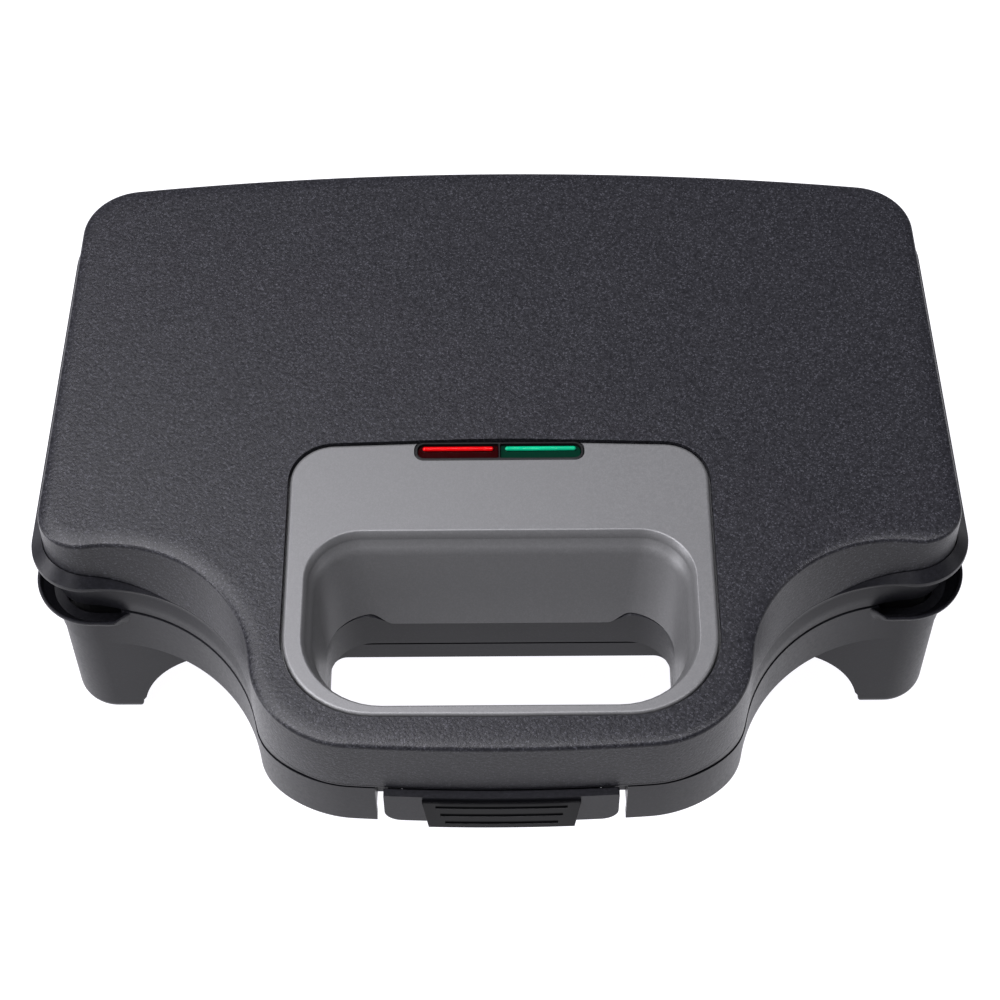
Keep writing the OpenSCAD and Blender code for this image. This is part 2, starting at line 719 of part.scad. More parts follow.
// Screws through the reflector into the plate's studs
module plate_screws() {
    color("#9a9a9c") for (p = plate_screw_places) {
        post(p, reflector_z - sheet_t - 1.2, reflector_z - sheet_t, head_r);
        post(p, reflector_z - sheet_t - 0.5, reflector_z + 8, screw_d / 2 - seat);
    }
}
module lower_plate_screws() { translate([0, 0, lower_rim]) plate_screws(); }
module upper_plate_screws() { flipped() plate_screws(); }

// ---------- latch ----------
latch_y = front_y + 3.8;
latch_z = skirt_z - 4.5;
latch_top = skirt_z - 2.2;
latch_low = latch_top - latch_h;
lip_top = latch_low + 4.4;
lip_low = latch_low + 2.3;
hook_top = latch_low + 1.9;
notch_d = 7.2;
barrel_w = latch_w - 9;

module latch_ear() {
    inside = front_y + wall + 1.4;
    ear_top = deck_z + handle_lift + 1;
    side_slab([
        [front_y + 1.8, skirt_z - 0.4], [front_y + 1.8, latch_z - 2.6], [latch_y + 2.8, latch_z - 2.6],
        [latch_y + 2.8, ear_top], [inside, ear_top], [inside, skirt_z - 0.4]],
        barrel_w / 2 + 0.4, latch_w / 2 - 1);
}

module latch_clip() {
    r = 4;
    color("#3a393d") difference() {
        union() {
            intersection() {
                difference() {
                    slab(plan(outline, latch_proud), latch_low, latch_top);
                    slab(plan(outline, -0.3), latch_low - cut, latch_top + cut);
                }
                front_slab(rounded(
                    box_plan(-latch_w / 2, latch_w / 2, latch_low, latch_top), [r, r, 0.6, 0.6], 6),
                    front_y - 5, front_y + 12);
            }
            rod(-barrel_w / 2, barrel_w / 2, latch_y, latch_z, 2.5);
            box(-barrel_w / 2, barrel_w / 2, front_y - 0.3, latch_y, latch_z - 1.2, latch_z + 1.4);
            box(-pad_w / 2, pad_w / 2, front_y - 0.3, front_y + hook_reach - 0.3, latch_low, hook_top);
        }
        rod(-latch_w, latch_w, latch_y, latch_z, latch_pin_d / 2 + run_gap);
    }
}

// Turns a flat section round the centre of the handle's bow, half_w to each side of the middle
module bowed(half_w) {
    sweep = 2 * asin(half_w / front_bow_r);
    translate([front_c.x, front_c.y, 0]) rotate([0, 0, -90 - sweep / 2])
        rotate_extrude(angle = sweep, $fn = 720) children();
}

// Glossy thumb pad: a wedge that grows downwards, with three grooves, narrower at its foot
pad_low = latch_low + 0.3;
pad_top = latch_top - 0.9;
pad_r = front_bow_r + latch_proud;
pad_toe = [pad_proud, pad_low + 0.9];
pad_brow = [0.95, pad_top - 0.25];
groove_r = 0.7;
module latch_thumb_pad() {
    color("#0e0e10") intersection() {
        difference() {
            bowed(pad_w / 2 + cut) translate([pad_r, 0]) polygon([
                [0.03, pad_top], [0.75, pad_top], pad_brow, pad_toe, [pad_proud - 0.45, pad_low],
                [0.03, pad_low + 0.2]]);
            for (i = [0:2])
                let (t = 0.24 + 0.26 * i, at = pad_brow + t * (pad_toe - pad_brow))
                bowed(pad_w / 2 - 4) translate([pad_r + at.x + groove_r / 3, at.y]) circle(r = groove_r);
        }
        front_slab([
            [-pad_w / 2 + 1.8, pad_low - cut], [pad_w / 2 - 1.8, pad_low - cut],
            [pad_w / 2, pad_top + cut], [-pad_w / 2, pad_top + cut]], front_y - 9, front_y + 9);
    }
}
module latch_pin() {
    color("#b8b8ba") rod(-latch_w / 2 + 1.2, latch_w / 2 - 1.2, latch_y, latch_z, latch_pin_d / 2);
}

// ---------- base ----------
leg_in = 18.6;         // how far a leg reaches in from the side
leg_deep = 24;         // how far a leg reaches back from the front, and forward from the back
arch_rise = leg_h;
arch_run = 26.5;
handle_floor = parting_z - 12;

// Side view of an arch between the feet that end at a and b, with rounded toes
function arch(a, b) = let (
    edge = concat([[toe_r, -cut]],
        [for (t = [0:30:60]) [toe_r * (1 - sin(t)), pad_out + toe_r * (1 - cos(t))]],
        [for (t = [10:10:90]) [arch_run * (cos(t) - 1), arch_rise * sin(t)]]))
    concat([for (p = edge) [a - p.x, p.y]],
           [for (i = [len(edge) - 1:-1:0]) [b + edge[i].x, edge[i].y]]);
module leg_arches() {
    x_foot = body_w / 2 - leg_in;
    front_slab(arch(-x_foot, x_foot), -far, far);
    side_slab(arch(corner_y + leg_deep, back_y - leg_deep - 4), -far, far);
}

foot_edge_r = 4;       // rounding round the underside of the feet
foot_x = body_w / 2 - 11.5;
foot_ys = [corner_y + 10, back_y - 18];
module leg_block() {
    loft(concat(
        [for (a = [0:15:90])
            ring(body_outline, -foot_edge_r * (1 - sin(a)), pad_out + foot_edge_r * (1 - cos(a)))],
        [ring(body_outline, 0, leg_h + 1)]));
}
module legs() {
    difference() {
        leg_block();
        slab(plan(body_outline, -wall), pad_out + foot_edge_r, leg_h + 2);
        leg_arches();
    }
}

// The rim that flares out at the corners and sides; its section hides in the wall elsewhere
function flare_ring(d, w, z) = [
    for (s = seam_outline)
        let (out = d + w * flare_w * outwards(s, flare_x, flare_x + 7.5))
        [s[0] + out * s[2], s[1] + out * s[3], rim_z + z]
];
flare_x = body_w / 2 - 24;
module flare() {
    hoop([
        flare_ring(-1.6, 0, -6.5),
        flare_ring(-0.7, 0.22, -5.4),
        flare_ring(-0.5, 0.8, -2.6),
        flare_ring(-0.3, 1.06, -0.7),
        flare_ring(-0.3, 1.06, 0),
        flare_ring(-0.9, 1.04, 0),
        flare_ring(-2.1, 0.6, -3.6)
    ]);
}
// The dish inside the flared rim
module rim_dish() {
    intersection() {
        loft([
            flare_ring(-3.4, 0.15, -4.6), flare_ring(-2.2, 0.6, -4.5), flare_ring(-1.3, 0.98, -1.5),
            flare_ring(-0.9, 1.03, -0.1), flare_ring(-0.9, 1.03, cut)]);
        both_sides() box(flare_x + 5, far, -far, far, 0, far);
    }
}

ear_low = parting_z - 11.5;
ear_xs = [
    [eye_in[0] - 0.3 - ear_w, eye_in[0] - 0.3],
    [eye_in[1] + 0.3, eye_in[1] + 0.3 + ear_w]
];
module hinge_ears() {
    for (e = ear_xs) {
        w = wall_y((e[0] + e[1]) / 2);
        rod(e[0], e[1], hinge_y, hinge_z, eye_d / 2);
        side_slab([
            [w, ear_low], [hinge_y, hinge_z - eye_d / 2], [hinge_y + 1, hinge_z],
            [hinge_y - 4, hinge_z], [hinge_y - eye_d / 2 - 0.5, base_top - 0.5], [w, base_top - 0.5]],
            e[0], e[1]);
    }
}

base_screw_places = [
    for (x = [-1, 1]) each [
        [x * (screw_x + 1.8), corner_y + 36], [x * (screw_x + 1.8), back_y - 38], [x * 60, back_y - 6.5]
    ]
];
socket_r = screw_d + 0.3;
socket_top = leg_h + 3;
base_deck = parting_z - 8.9;
base_low = base_deck - 2;
gland_z = floor_z + 4.3;
gland_d = 7;
terminal_y = back_y - 9;

module base_housing() {
    color("#38373c") difference() {
        union() {
            difference() {
                slab(plan(body_outline, 0), leg_h, base_top);
                slab(plan(body_outline, -wall), floor_z, far);
                slab(plan(seam_outline, -wall - 0.2), base_top - 2.6, far);
            }
            intersection() {
                difference() {
                    slab(plan(seam_outline, 0), 0, far);
                    slab(plan(seam_outline, -wall), -cut, far + cut);
                }
                lifted_slab(band_z, base_top);
            }
            intersection() {
                slab(plan(seam_outline, -0.5), 0, far);
                lifted_slab(handle_floor, handle_floor + 2);
                box(-far, far, -far, corner_y + 1, 0, far);
            }
            intersection() {
                slab(opening(lining_t, low_opening_r), 0, far);
                lifted_slab(handle_floor, base_top - sleeve_h);
            }
            legs();
            flare();
            both_sides() hinge_ears();
            // walls and catch behind the latch
            intersection() {
                box(-latch_w / 2 - latch_gap - wall, latch_w / 2 + latch_gap + wall,
                    front_y + 0.8, front_y + notch_d + wall, 0, far);
                lifted_slab(handle_floor, base_top - 2.8);
            }
            for (p = base_screw_places) post(p, leg_h, base_low, boss_d / 2);
            // collars round the sockets of the screw heads
            intersection() {
                slab(plan(body_outline, -wall / 2), 0, far);
                for (p = base_screw_places) post(p, leg_h, socket_top + 1.6, socket_r + 1.2);
            }
        }
        slab(opening(0, low_opening_r), 0, far);
        difference() {
            box(-latch_w / 2 - latch_gap, latch_w / 2 + latch_gap, front_y - 6, front_y + notch_d, 0, far);
            box(-pad_w / 2 - 1.5, pad_w / 2 + 1.5, front_y + hook_reach, far, lip_low, lip_top);
        }
        rim_dish();
        both_sides() {
            rim_cut(0);
            rod(ear_xs[0][0] - cut, ear_xs[1][1] + cut, hinge_y, hinge_z, pin_d / 2);
        }
        for (x = [-1, 1], y = foot_ys) post([x * foot_x, y], 0, pad_out + 1.6, pad_d / 2 + seat);
        for (p = base_screw_places) {
            post(p, 0, socket_top, socket_r);
            post(p, 0, far, screw_d / 2 + 0.2);
        }
        translate([0, back_y - 12, gland_z]) rotate([-90, 0, 0]) cylinder(d = gland_d, h = 24);
    }
}

// Inner frame of the base: a trough round the plate, a collar under its rim and the handle's top
module base_frame() {
    top = lower_rim - plate_t;
    step_y = corner_y + wall + 0.3;
    color("#2e2d30") difference() {
        union() {
            difference() {
                intersection() {
                    slab(plan(body_outline, -wall - 0.3), base_low, base_deck);
                    slab(plan(seam_outline, -wall - 0.3), 0, far);
                }
                box(-far, far, -far, step_y, 0, far);
            }
            slab(plate_plan(1.5), base_low, top);
            difference() {
                intersection() {
                    slab(plan(seam_outline, -wall - 0.3), 0, far);
                    union() {
                        intersection() {
                            lifted_slab(base_top - 2.5, base_top - 0.5);
                            box(-far, far, -far, step_y + 1, 0, far);
                        }
                        box(-far, far, step_y, step_y + 2, base_low, base_top - 0.5);
                    }
                }
                both_sides() rim_cut(0.3);
            }
        }
        slab(plate_plan(-3), 0, far);
        slab(opening(lining_t + 0.4), 0, far);
        box(-latch_w / 2 - latch_gap - 0.3, latch_w / 2 + latch_gap + 0.3, -far, front_y + notch_d + 0.3,
            0, far);
        for (p = base_screw_places) post(p, 0, base_deck - 0.8, screw_d / 2 - seat);
    }
}
// What is cut away above the lowered side rim, with its slanted step
module rim_cut(grow) {
    x0 = flare_x + 2 - grow;
    front_slab([[x0, far], [x0, base_top + cut], [x0 + 3, rim_z], [far, rim_z], [far, far]], -far, far);
}
module base_screws() {
    color("#9a9a9c") for (p = base_screw_places) {
        post(p, socket_top - 2, socket_top, screw_d);
        post(p, socket_top - 0.5, base_deck - 1, screw_d / 2 - seat);
    }
}

module foot_pad(x, y) {
    color("#1a1a1a") post([x * foot_x, y], 0, pad_out + 1.6, pad_d / 2);
}
module foot_pad_front_left() { foot_pad(-1, foot_ys[0]); }
module foot_pad_front_right() { foot_pad(1, foot_ys[0]); }
module foot_pad_rear_left() { foot_pad(-1, foot_ys[1]); }
module foot_pad_rear_right() { foot_pad(1, foot_ys[1]); }

module hinge_pin() {
    color("#b8b8ba") rod(ear_xs[0][0], ear_xs[1][1], hinge_y, hinge_z, pin_d / 2);
}
module hinge_pin_left() { mirror([1, 0, 0]) hinge_pin(); }
module hinge_pin_right() { hinge_pin(); }

// ---------- electrics in the base ----------
thermostat_x = pocket_x - 21;
thermostat_r = 7.5;
module thermostat() {
    top = lower_rim - plate_depth - seat;
    color("#c8b48a") {
        post([thermostat_x, plate_y], top - 5.4, top, thermostat_r);
        for (s = [-1, 1]) box(thermostat_x - thermostat_r - 4, thermostat_x - thermostat_r + 2,
            plate_y + s * 3 - 1.2, plate_y + s * 3 + 1.2, top - 3.2, top - 2.4);
    }
}
strip_z = floor_z + 4.3;
fuse_x = -38;
lane_y = plate_y + plate_d / 2 - 3.2;      // leads run along here behind the reflector
module thermal_fuse() {
    color("#d8d4c8") {
        rod(fuse_x - 6, fuse_x + 6, terminal_y, strip_z, 1.8);
        rod(fuse_x - 11, fuse_x + 11, terminal_y, strip_z, 0.5);
    }
}
module terminal_block() {
    color("#e6e1d4") difference() {
        box(-15, 15, terminal_y - 2.8, terminal_y + 3.2, floor_z, floor_z + 7.6);
        for (x = [-10, 0, 10]) rod_y([x, terminal_y], -5, 5, floor_z + 4.3, 1.7);
    }
}
module cord_gland() {
    color("#1a1a1a") difference() {
        union() {
            rod_y([0, back_y], -wall - 2, 1, gland_z, gland_d / 2 - seat);
            rod_y([0, back_y], 0.05, 3, gland_z, gland_d / 2 + 2.5);
            rod_y([0, back_y], -wall - 1.8, -wall - 0.1, gland_z, gland_d / 2 + 0.7);
        }
        rod_y([0, back_y], -10, 10, gland_z, 2.7);
    }
}

// A lead of round wire through the given places
wire_r = 0.9;
module lead(points) {
    for (i = [0:len(points) - 2]) hull() {
        translate(points[i]) sphere(r = wire_r, $fn = 10);
        translate(points[i + 1]) sphere(r = wire_r, $fn = 10);
    }
}
module lower_wires() {
    side_x = -plate_w / 2 + 1.6;
    top = lower_rim - plate_depth - seat;
    zh = lower_rim + heater_z;
    near = plate_y - heater_pitch / 2;
    rear = plate_y + heater_pitch / 2;
    hop = heater_d / 2 + 1.6;
    color("#b03a2e") {
        lead([[fuse_x - 12, terminal_y, strip_z], [fuse_x - 16, lane_y + 1.5, strip_z],
              [side_x + 4, lane_y + 1.5, strip_z], [side_x, lane_y - 8, zh],
              [side_x, rear, zh], [heater_x - 10.1, rear, zh]]);
        lead([[-16, terminal_y, strip_z], [fuse_x + 12, terminal_y, strip_z]]);
        lead([[-16, lane_y + 2, strip_z - 2.5], [side_x + 3, lane_y, strip_z - 2.5],
              [side_x - 2.2, lane_y - 4, strip_z - 2.5], [side_x - 2.2, lane_y - 12, zh],
              [side_x - 2.2, near, zh], [heater_x - 10.1, near, zh]]);
        lead([[16, terminal_y, strip_z], [19, lane_y, strip_z], [5.5, lane_y, zh], [5.5, rear + 8, zh],
              [0, rear + hop, zh], [0, rear + hop - 1.2, zh + hop], [0, rear + 1.2 - hop, zh + hop],
              [0, rear - hop, zh], [0, plate_y + 8, zh],
              [thermostat_x - thermostat_r - 5, plate_y + 3, top - 2.8]]);
    }
}
module upper_wires() {
    z = top_z - wall - 3.6;
    zh = lower_rim + plate_gap - heater_z;
    lead_x = lens_l + bezel + 4.2;
    color("#b03a2e") for (s = [-1, 1]) lead([
        [heater_x - 10.1, plate_y + s * heater_pitch / 2, zh], [wire_x, plate_y + s * heater_pitch / 2, zh],
        [wire_x, plate_y + s * heater_pitch / 2, z], [heater_x + 12, plate_y - 8 + 4 * s, z],
        [s * lead_x, insert_back + 8 + s, z], [s * lead_x, lens_y, z]]);
}

lid_cover();
handle_insert();
lens_holder();
power_lens();
ready_lens();
power_lamp();
ready_lamp();
lid_frame();
lid_screws();
upper_plate();
upper_plate_screws();
upper_heater();
upper_heater_clips();
upper_reflector();
upper_wires();
latch_clip();
latch_thumb_pad();
latch_pin();
base_housing();
base_frame();
base_screws();
lower_plate();
lower_plate_screws();
lower_heater();
lower_heater_clips();
lower_reflector();
thermostat();
thermal_fuse();
terminal_block();
lower_wires();
cord_gland();
hinge_pin_left();
hinge_pin_right();
foot_pad_front_left();
foot_pad_front_right();
foot_pad_rear_left();
foot_pad_rear_right();
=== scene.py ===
# %% [markdown]
# # A closed sandwich toaster
# The toaster is two moulded shells round a pair of cooking plates: a lid with a grey handle insert and a
# base on four legs, hinged at the back and held together by a latch at the front of the handle. The
# engineering model already gives each part its place. This lesson loads it, dresses each part in the finish
# of the real plastic or metal, and rebuilds the curved mouldings with more steps in every curve.

# %% Load the engineering model
import bpy
import bmesh
import math
from mathutils import Matrix, Vector


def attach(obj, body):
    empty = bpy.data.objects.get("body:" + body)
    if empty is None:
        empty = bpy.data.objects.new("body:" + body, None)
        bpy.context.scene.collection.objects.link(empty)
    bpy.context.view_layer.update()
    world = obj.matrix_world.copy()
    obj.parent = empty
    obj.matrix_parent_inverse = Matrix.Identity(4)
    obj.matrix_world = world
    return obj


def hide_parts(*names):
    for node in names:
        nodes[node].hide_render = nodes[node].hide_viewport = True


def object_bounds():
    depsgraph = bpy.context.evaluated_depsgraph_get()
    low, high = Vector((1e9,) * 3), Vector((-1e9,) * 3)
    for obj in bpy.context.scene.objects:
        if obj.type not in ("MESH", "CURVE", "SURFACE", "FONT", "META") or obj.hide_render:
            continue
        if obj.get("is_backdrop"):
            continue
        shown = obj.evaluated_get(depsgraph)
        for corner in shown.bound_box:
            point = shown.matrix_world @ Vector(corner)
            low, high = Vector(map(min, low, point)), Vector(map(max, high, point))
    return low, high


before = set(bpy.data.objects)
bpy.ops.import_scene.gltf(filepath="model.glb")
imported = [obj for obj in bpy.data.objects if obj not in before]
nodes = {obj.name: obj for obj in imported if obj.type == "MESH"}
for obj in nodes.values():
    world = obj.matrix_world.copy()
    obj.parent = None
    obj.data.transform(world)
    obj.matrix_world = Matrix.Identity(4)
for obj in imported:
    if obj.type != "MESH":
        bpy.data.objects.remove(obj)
cad_box = [list(corner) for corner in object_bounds()]
scene = bpy.context.scene
MM = 0.001
print("size in mm:", [round((b - a) / MM, 1) for a, b in zip(*cad_box)])

# %% [markdown]
# ## Camera
# A product photograph like this is taken with a long lens from above the handle, so that the lid fills the
# picture and the sides hardly converge. An orthographic camera would keep them parallel, but the real
# picture narrows a little towards the back, so this is a perspective camera with an 86 mm lens that looks
# down at 55 degrees.

# %% Camera
look_down_angle, roll_angle = 55, -0.37
camera_data = bpy.data.cameras.new("camera")
camera_data.lens = 86.4
camera_data.sensor_width = 36
camera_data.shift_x = 0.0004
camera = bpy.data.objects.new("camera", camera_data)
scene.collection.objects.link(camera)
camera.location = (0, -0.3627, 0.5651)
look_down = Matrix.Rotation(math.radians(90 - look_down_angle), 4, "X")
slight_roll = Matrix.Rotation(math.radians(roll_angle), 4, "Z")
camera.rotation_euler = (look_down @ slight_roll).to_euler()
scene.camera = camera
print("camera", [round(c, 3) for c in camera.location], "lens", camera_data.lens)

# %% [markdown]
# ## Nodes for every finish
# Each finish is a small network of nodes. It could be wired by hand in the shader editor, but written out
# it can be read, changed and used again. One helper adds a node, sets its values and joins its inputs, so a
# network reads from top to bottom like a recipe. Colours are the sRGB hex values one would pick from a
# paint chart, and another helper turns them into the linear values that Blender computes with. Patterns are
# sized in millimetres on the piece. The values of a noise hardly leave the range from 0.3 to 0.7, so a Map
# Range node stretches that range to what is needed. The Mix node keeps its two colours in inputs 6 and 7,
# and the mixed one in output 2.


# %% Helpers for colours and nodes
def linear(hex_code):
    """An sRGB hex colour as linear RGBA."""
    parts = [int(hex_code[i:i + 2], 16) / 255 for i in (1, 3, 5)]
    return tuple(c / 12.92 if c <= 0.04045 else ((c + 0.055) / 1.055) ** 2.4 for c in parts) + (1.0,)


def set_up(node, settings=None, links=None):
    """Sets a node's properties and values and links its inputs; a node as source is its first output."""
    for key, value in (settings or {}).items():
        if isinstance(key, int) or key in node.inputs:
            node.inputs[key].default_value = value
        else:
            setattr(node, key, value)
    for key, source in (links or {}).items():
        socket = source.outputs[0] if isinstance(source, bpy.types.Node) else source
        node.id_data.links.new(socket, node.inputs[key])
    return node


def add(tree, kind, settings=None, links=None):
    """Adds one node and sets it up."""
    return set_up(tree.nodes.new(kind), settings, links)


def start(name):
    """A new material with its shader, and the coordinates of the piece in metres."""
    material = bpy.data.materials.new(name)
    material.use_nodes = True
    tree = material.node_tree
    place = add(tree, "ShaderNodeTexCoord").outputs["Object"]
    return material, tree, tree.nodes["Principled BSDF"], place


def lumps(size_mm):
    """The scale at which the lumps of a noise are about size_mm wide."""
    return 0.5 / (size_mm * MM)


def cells(size_mm):
    """The scale at which the cells of a Voronoi pattern are about size_mm wide."""
    return 1 / (size_mm * MM)


print("a mid grey in linear light:", round(linear("#808080")[0], 3))

# %% [markdown]
# ## The charcoal plastic
# The lid cover is ABS with a mica-like pearl filler, moulded against a spark-eroded steel cavity. The
# cavity leaves a leathery grain of about 0.4 mm that scatters the highlights, and the filler glitters as
# single pale specks. The frame and the base come from a darker, smoother grade of the same plastic. The
# grain could be modelled, but that would take millions of faces for bumps of a tenth of a millimetre, so a
# noise tilts the light instead. The specks are those few cells of a Voronoi pattern that come out
# brightest. Real flakes are about 0.05 mm wide, too fine for the picture, so they are drawn 0.3 mm wide.

# %% ABS, pearl charcoal, eroded grain
eroded_mm, flake_mm, cloud_mm = 0.42, 0.3, 9.0


def pearl_abs(name, dark, pale, flake, roughness, depth_mm, shine):
    """To the eye: a soft sheen, broken up by the grain, with single glittering specks."""
    material, tree, shader, place = start(name)
    leather = add(tree, "ShaderNodeTexNoise", {"Scale": lumps(eroded_mm), "Detail": 3.0, "Roughness": 0.6},
                  {"Vector": place})
    share = add(tree, "ShaderNodeMapRange", {"From Min": 0.35, "From Max": 0.7}, {"Value": leather})
    body = add(tree, "ShaderNodeMix", {"data_type": "RGBA", 6: linear(dark), 7: linear(pale)}, {0: share})
    flakes = add(tree, "ShaderNodeTexVoronoi", {"Scale": cells(flake_mm)}, {"Vector": place})
    bright = add(tree, "ShaderNodeSeparateColor", None, {"Color": flakes.outputs["Color"]})
    glitter = add(tree, "ShaderNodeMapRange", {"From Min": 0.8, "From Max": 1.0, "To Max": 0.5},
                  {"Value": bright})
    colour = add(tree, "ShaderNodeMix", {"data_type": "RGBA", 7: linear(flake)},
                 {0: glitter, 6: body.outputs[2]})
    cloud = add(tree, "ShaderNodeTexNoise", {"Scale": lumps(cloud_mm), "Detail": 2.0}, {"Vector": place})
    haze = add(tree, "ShaderNodeMapRange",
               {"From Min": 0.3, "From Max": 0.7, "To Min": -0.015, "To Max": 0.015}, {"Value": cloud})
    dull = add(tree, "ShaderNodeMapRange",
               {"From Min": 0.3, "From Max": 0.7, "To Min": roughness - 0.05, "To Max": roughness + 0.06},
               {"Value": leather})
    rough = add(tree, "ShaderNodeMath", {"operation": "ADD"}, {0: dull, 1: haze})
    relief = add(tree, "ShaderNodeBump", {"Strength": 1.0, "Distance": depth_mm * MM}, {"Height": leather})
    set_up(shader, {"Specular IOR Level": shine},
           {"Base Color": colour.outputs[2], "Roughness": rough, "Normal": relief})
    return material


pearl = pearl_abs("abs_pearl_charcoal", "#151518", "#212125", "#47474d", 0.33, 0.09, 0.18)
satin = pearl_abs("abs_satin_charcoal", "#111114", "#17171b", "#232328", 0.38, 0.008, 0.17)
print("made", pearl.name, "and", satin.name)

# %% [markdown]
# ## The grey paint
# The handle insert is ABS with a coat of silver-grey metallic paint: fine aluminium flakes under a satin
# lacquer. A full metal would mirror the room and a plain grey would look like putty, so the shader is about
# one third metallic. The flakes are again drawn 0.3 mm wide, coarser than they are, and a faint waviness of
# 0.7 mm stands for the orange peel that every sprayed coat has.

# %% ABS with metallic grey paint
mist_mm, peel_mm = 0.5, 0.7


def metallic_paint(name, dark, pale):
    """To the eye: an even satin grey with a broad, soft highlight."""
    material, tree, shader, place = start(name)
    flakes = add(tree, "ShaderNodeTexVoronoi", {"Scale": cells(flake_mm)}, {"Vector": place})
    tone = add(tree, "ShaderNodeSeparateColor", None, {"Color": flakes.outputs["Color"]})
    mist = add(tree, "ShaderNodeTexNoise", {"Scale": lumps(mist_mm), "Detail": 3.0, "Roughness": 0.6},
               {"Vector": place})
    blend = add(tree, "ShaderNodeMath", {"operation": "MULTIPLY"}, {0: tone.outputs["Green"], 1: mist})
    share = add(tree, "ShaderNodeMapRange", {"From Min": 0.1, "From Max": 0.5}, {"Value": blend})
    colour = add(tree, "ShaderNodeMix", {"data_type": "RGBA", 6: linear(dark), 7: linear(pale)}, {0: share})
    rough = add(tree, "ShaderNodeMapRange",
                {"From Min": 0.3, "From Max": 0.7, "To Min": 0.38, "To Max": 0.46}, {"Value": mist})
    peel = add(tree, "ShaderNodeTexNoise", {"Scale": lumps(peel_mm), "Detail": 2.0}, {"Vector": place})
    relief = add(tree, "ShaderNodeBump", {"Strength": 1.0, "Distance": 0.003 * MM}, {"Height": peel})
    set_up(shader, {"Metallic": 0.35},
           {"Base Color": colour.outputs[2], "Roughness": rough, "Normal": relief})
    return material


grey_paint = metallic_paint("painted_abs_silver_grey", "#5a5a5b", "#5f5f60")
print("made", grey_paint.name)

# %% [markdown]
# ## Black plastics and rubber
# The thumb pad is polished black ABS, the inner frame of the base and the lens holder are glass-filled
# nylon, and the foot pads and the cord gland are nitrile rubber. All of them are nearly black, so the eye
# tells them apart by their highlights alone. Three recipes would be nearly the same, so one serves all of
# them: each only has its own roughness, grain and shine.

# %% Polished and plain black plastics, and rubber
smear_mm = 6.0


def black_plastic(name, dark, pale, roughness, grain_mm, depth_mm, shine):
    """To the eye: a smeared mirror for the pad, a soft sheen for the nylon, hardly any for the rubber."""
    material, tree, shader, place = start(name)
    fine = add(tree, "ShaderNodeTexNoise", {"Scale": lumps(grain_mm), "Detail": 4.0, "Roughness": 0.6},
               {"Vector": place})
    share = add(tree, "ShaderNodeMapRange", {"From Min": 0.3, "From Max": 0.7}, {"Value": fine})
    colour = add(tree, "ShaderNodeMix", {"data_type": "RGBA", 6: linear(dark), 7: linear(pale)}, {0: share})
    smears = add(tree, "ShaderNodeTexNoise", {"Scale": lumps(smear_mm), "Detail": 3.0, "Roughness": 0.7},
                 {"Vector": place})
    rough = add(tree, "ShaderNodeMapRange",
                {"From Min": 0.35, "From Max": 0.65, "To Min": roughness * 0.85, "To Max": roughness * 1.2},
                {"Value": smears})
    relief = add(tree, "ShaderNodeBump", {"Strength": 1.0, "Distance": depth_mm * MM}, {"Height": fine})
    set_up(shader, {"Specular IOR Level": shine},
           {"Base Color": colour.outputs[2], "Roughness": rough, "Normal": relief})
    return material


gloss_black = black_plastic("polished_black_abs", "#050506", "#08080a", 0.13, 0.8, 0.0006, 0.12)
black_nylon = black_plastic("glass_filled_black_nylon", "#0c0c0d", "#121213", 0.42, 0.35, 0.008, 0.15)
rubber = black_plastic("nitrile_rubber", "#141414", "#1f1f1f", 0.78, 0.3, 0.02, 0.4)
print("made", gloss_black.name, black_nylon.name, rubber.name)

# %% [markdown]
# ## The lenses
# The two indicator lenses are clear polycarbonate dyed red and green, each with a lamp far below. Unlit,
# they show a dark body and a bright stripe where the light guide on top catches the light of the room.
# Glass with absorption could show that, but it needs many light paths and leaves the exported model black.
# So the stripe is a painted highlight: it is coloured by height, because the light guide is all that reaches
# above 79.2 mm, and the same colour is painted in as a faint glow, though the lamp is unlit.

# %% Dyed polycarbonate, with a painted highlight stripe and a painted glow
stripe_low, stripe_high = 79.2, 79.4
rib_mm = 1.2
# one wave of this texture is about 0.31 / scale wide
rib_scale = 0.31 / (rib_mm * MM)


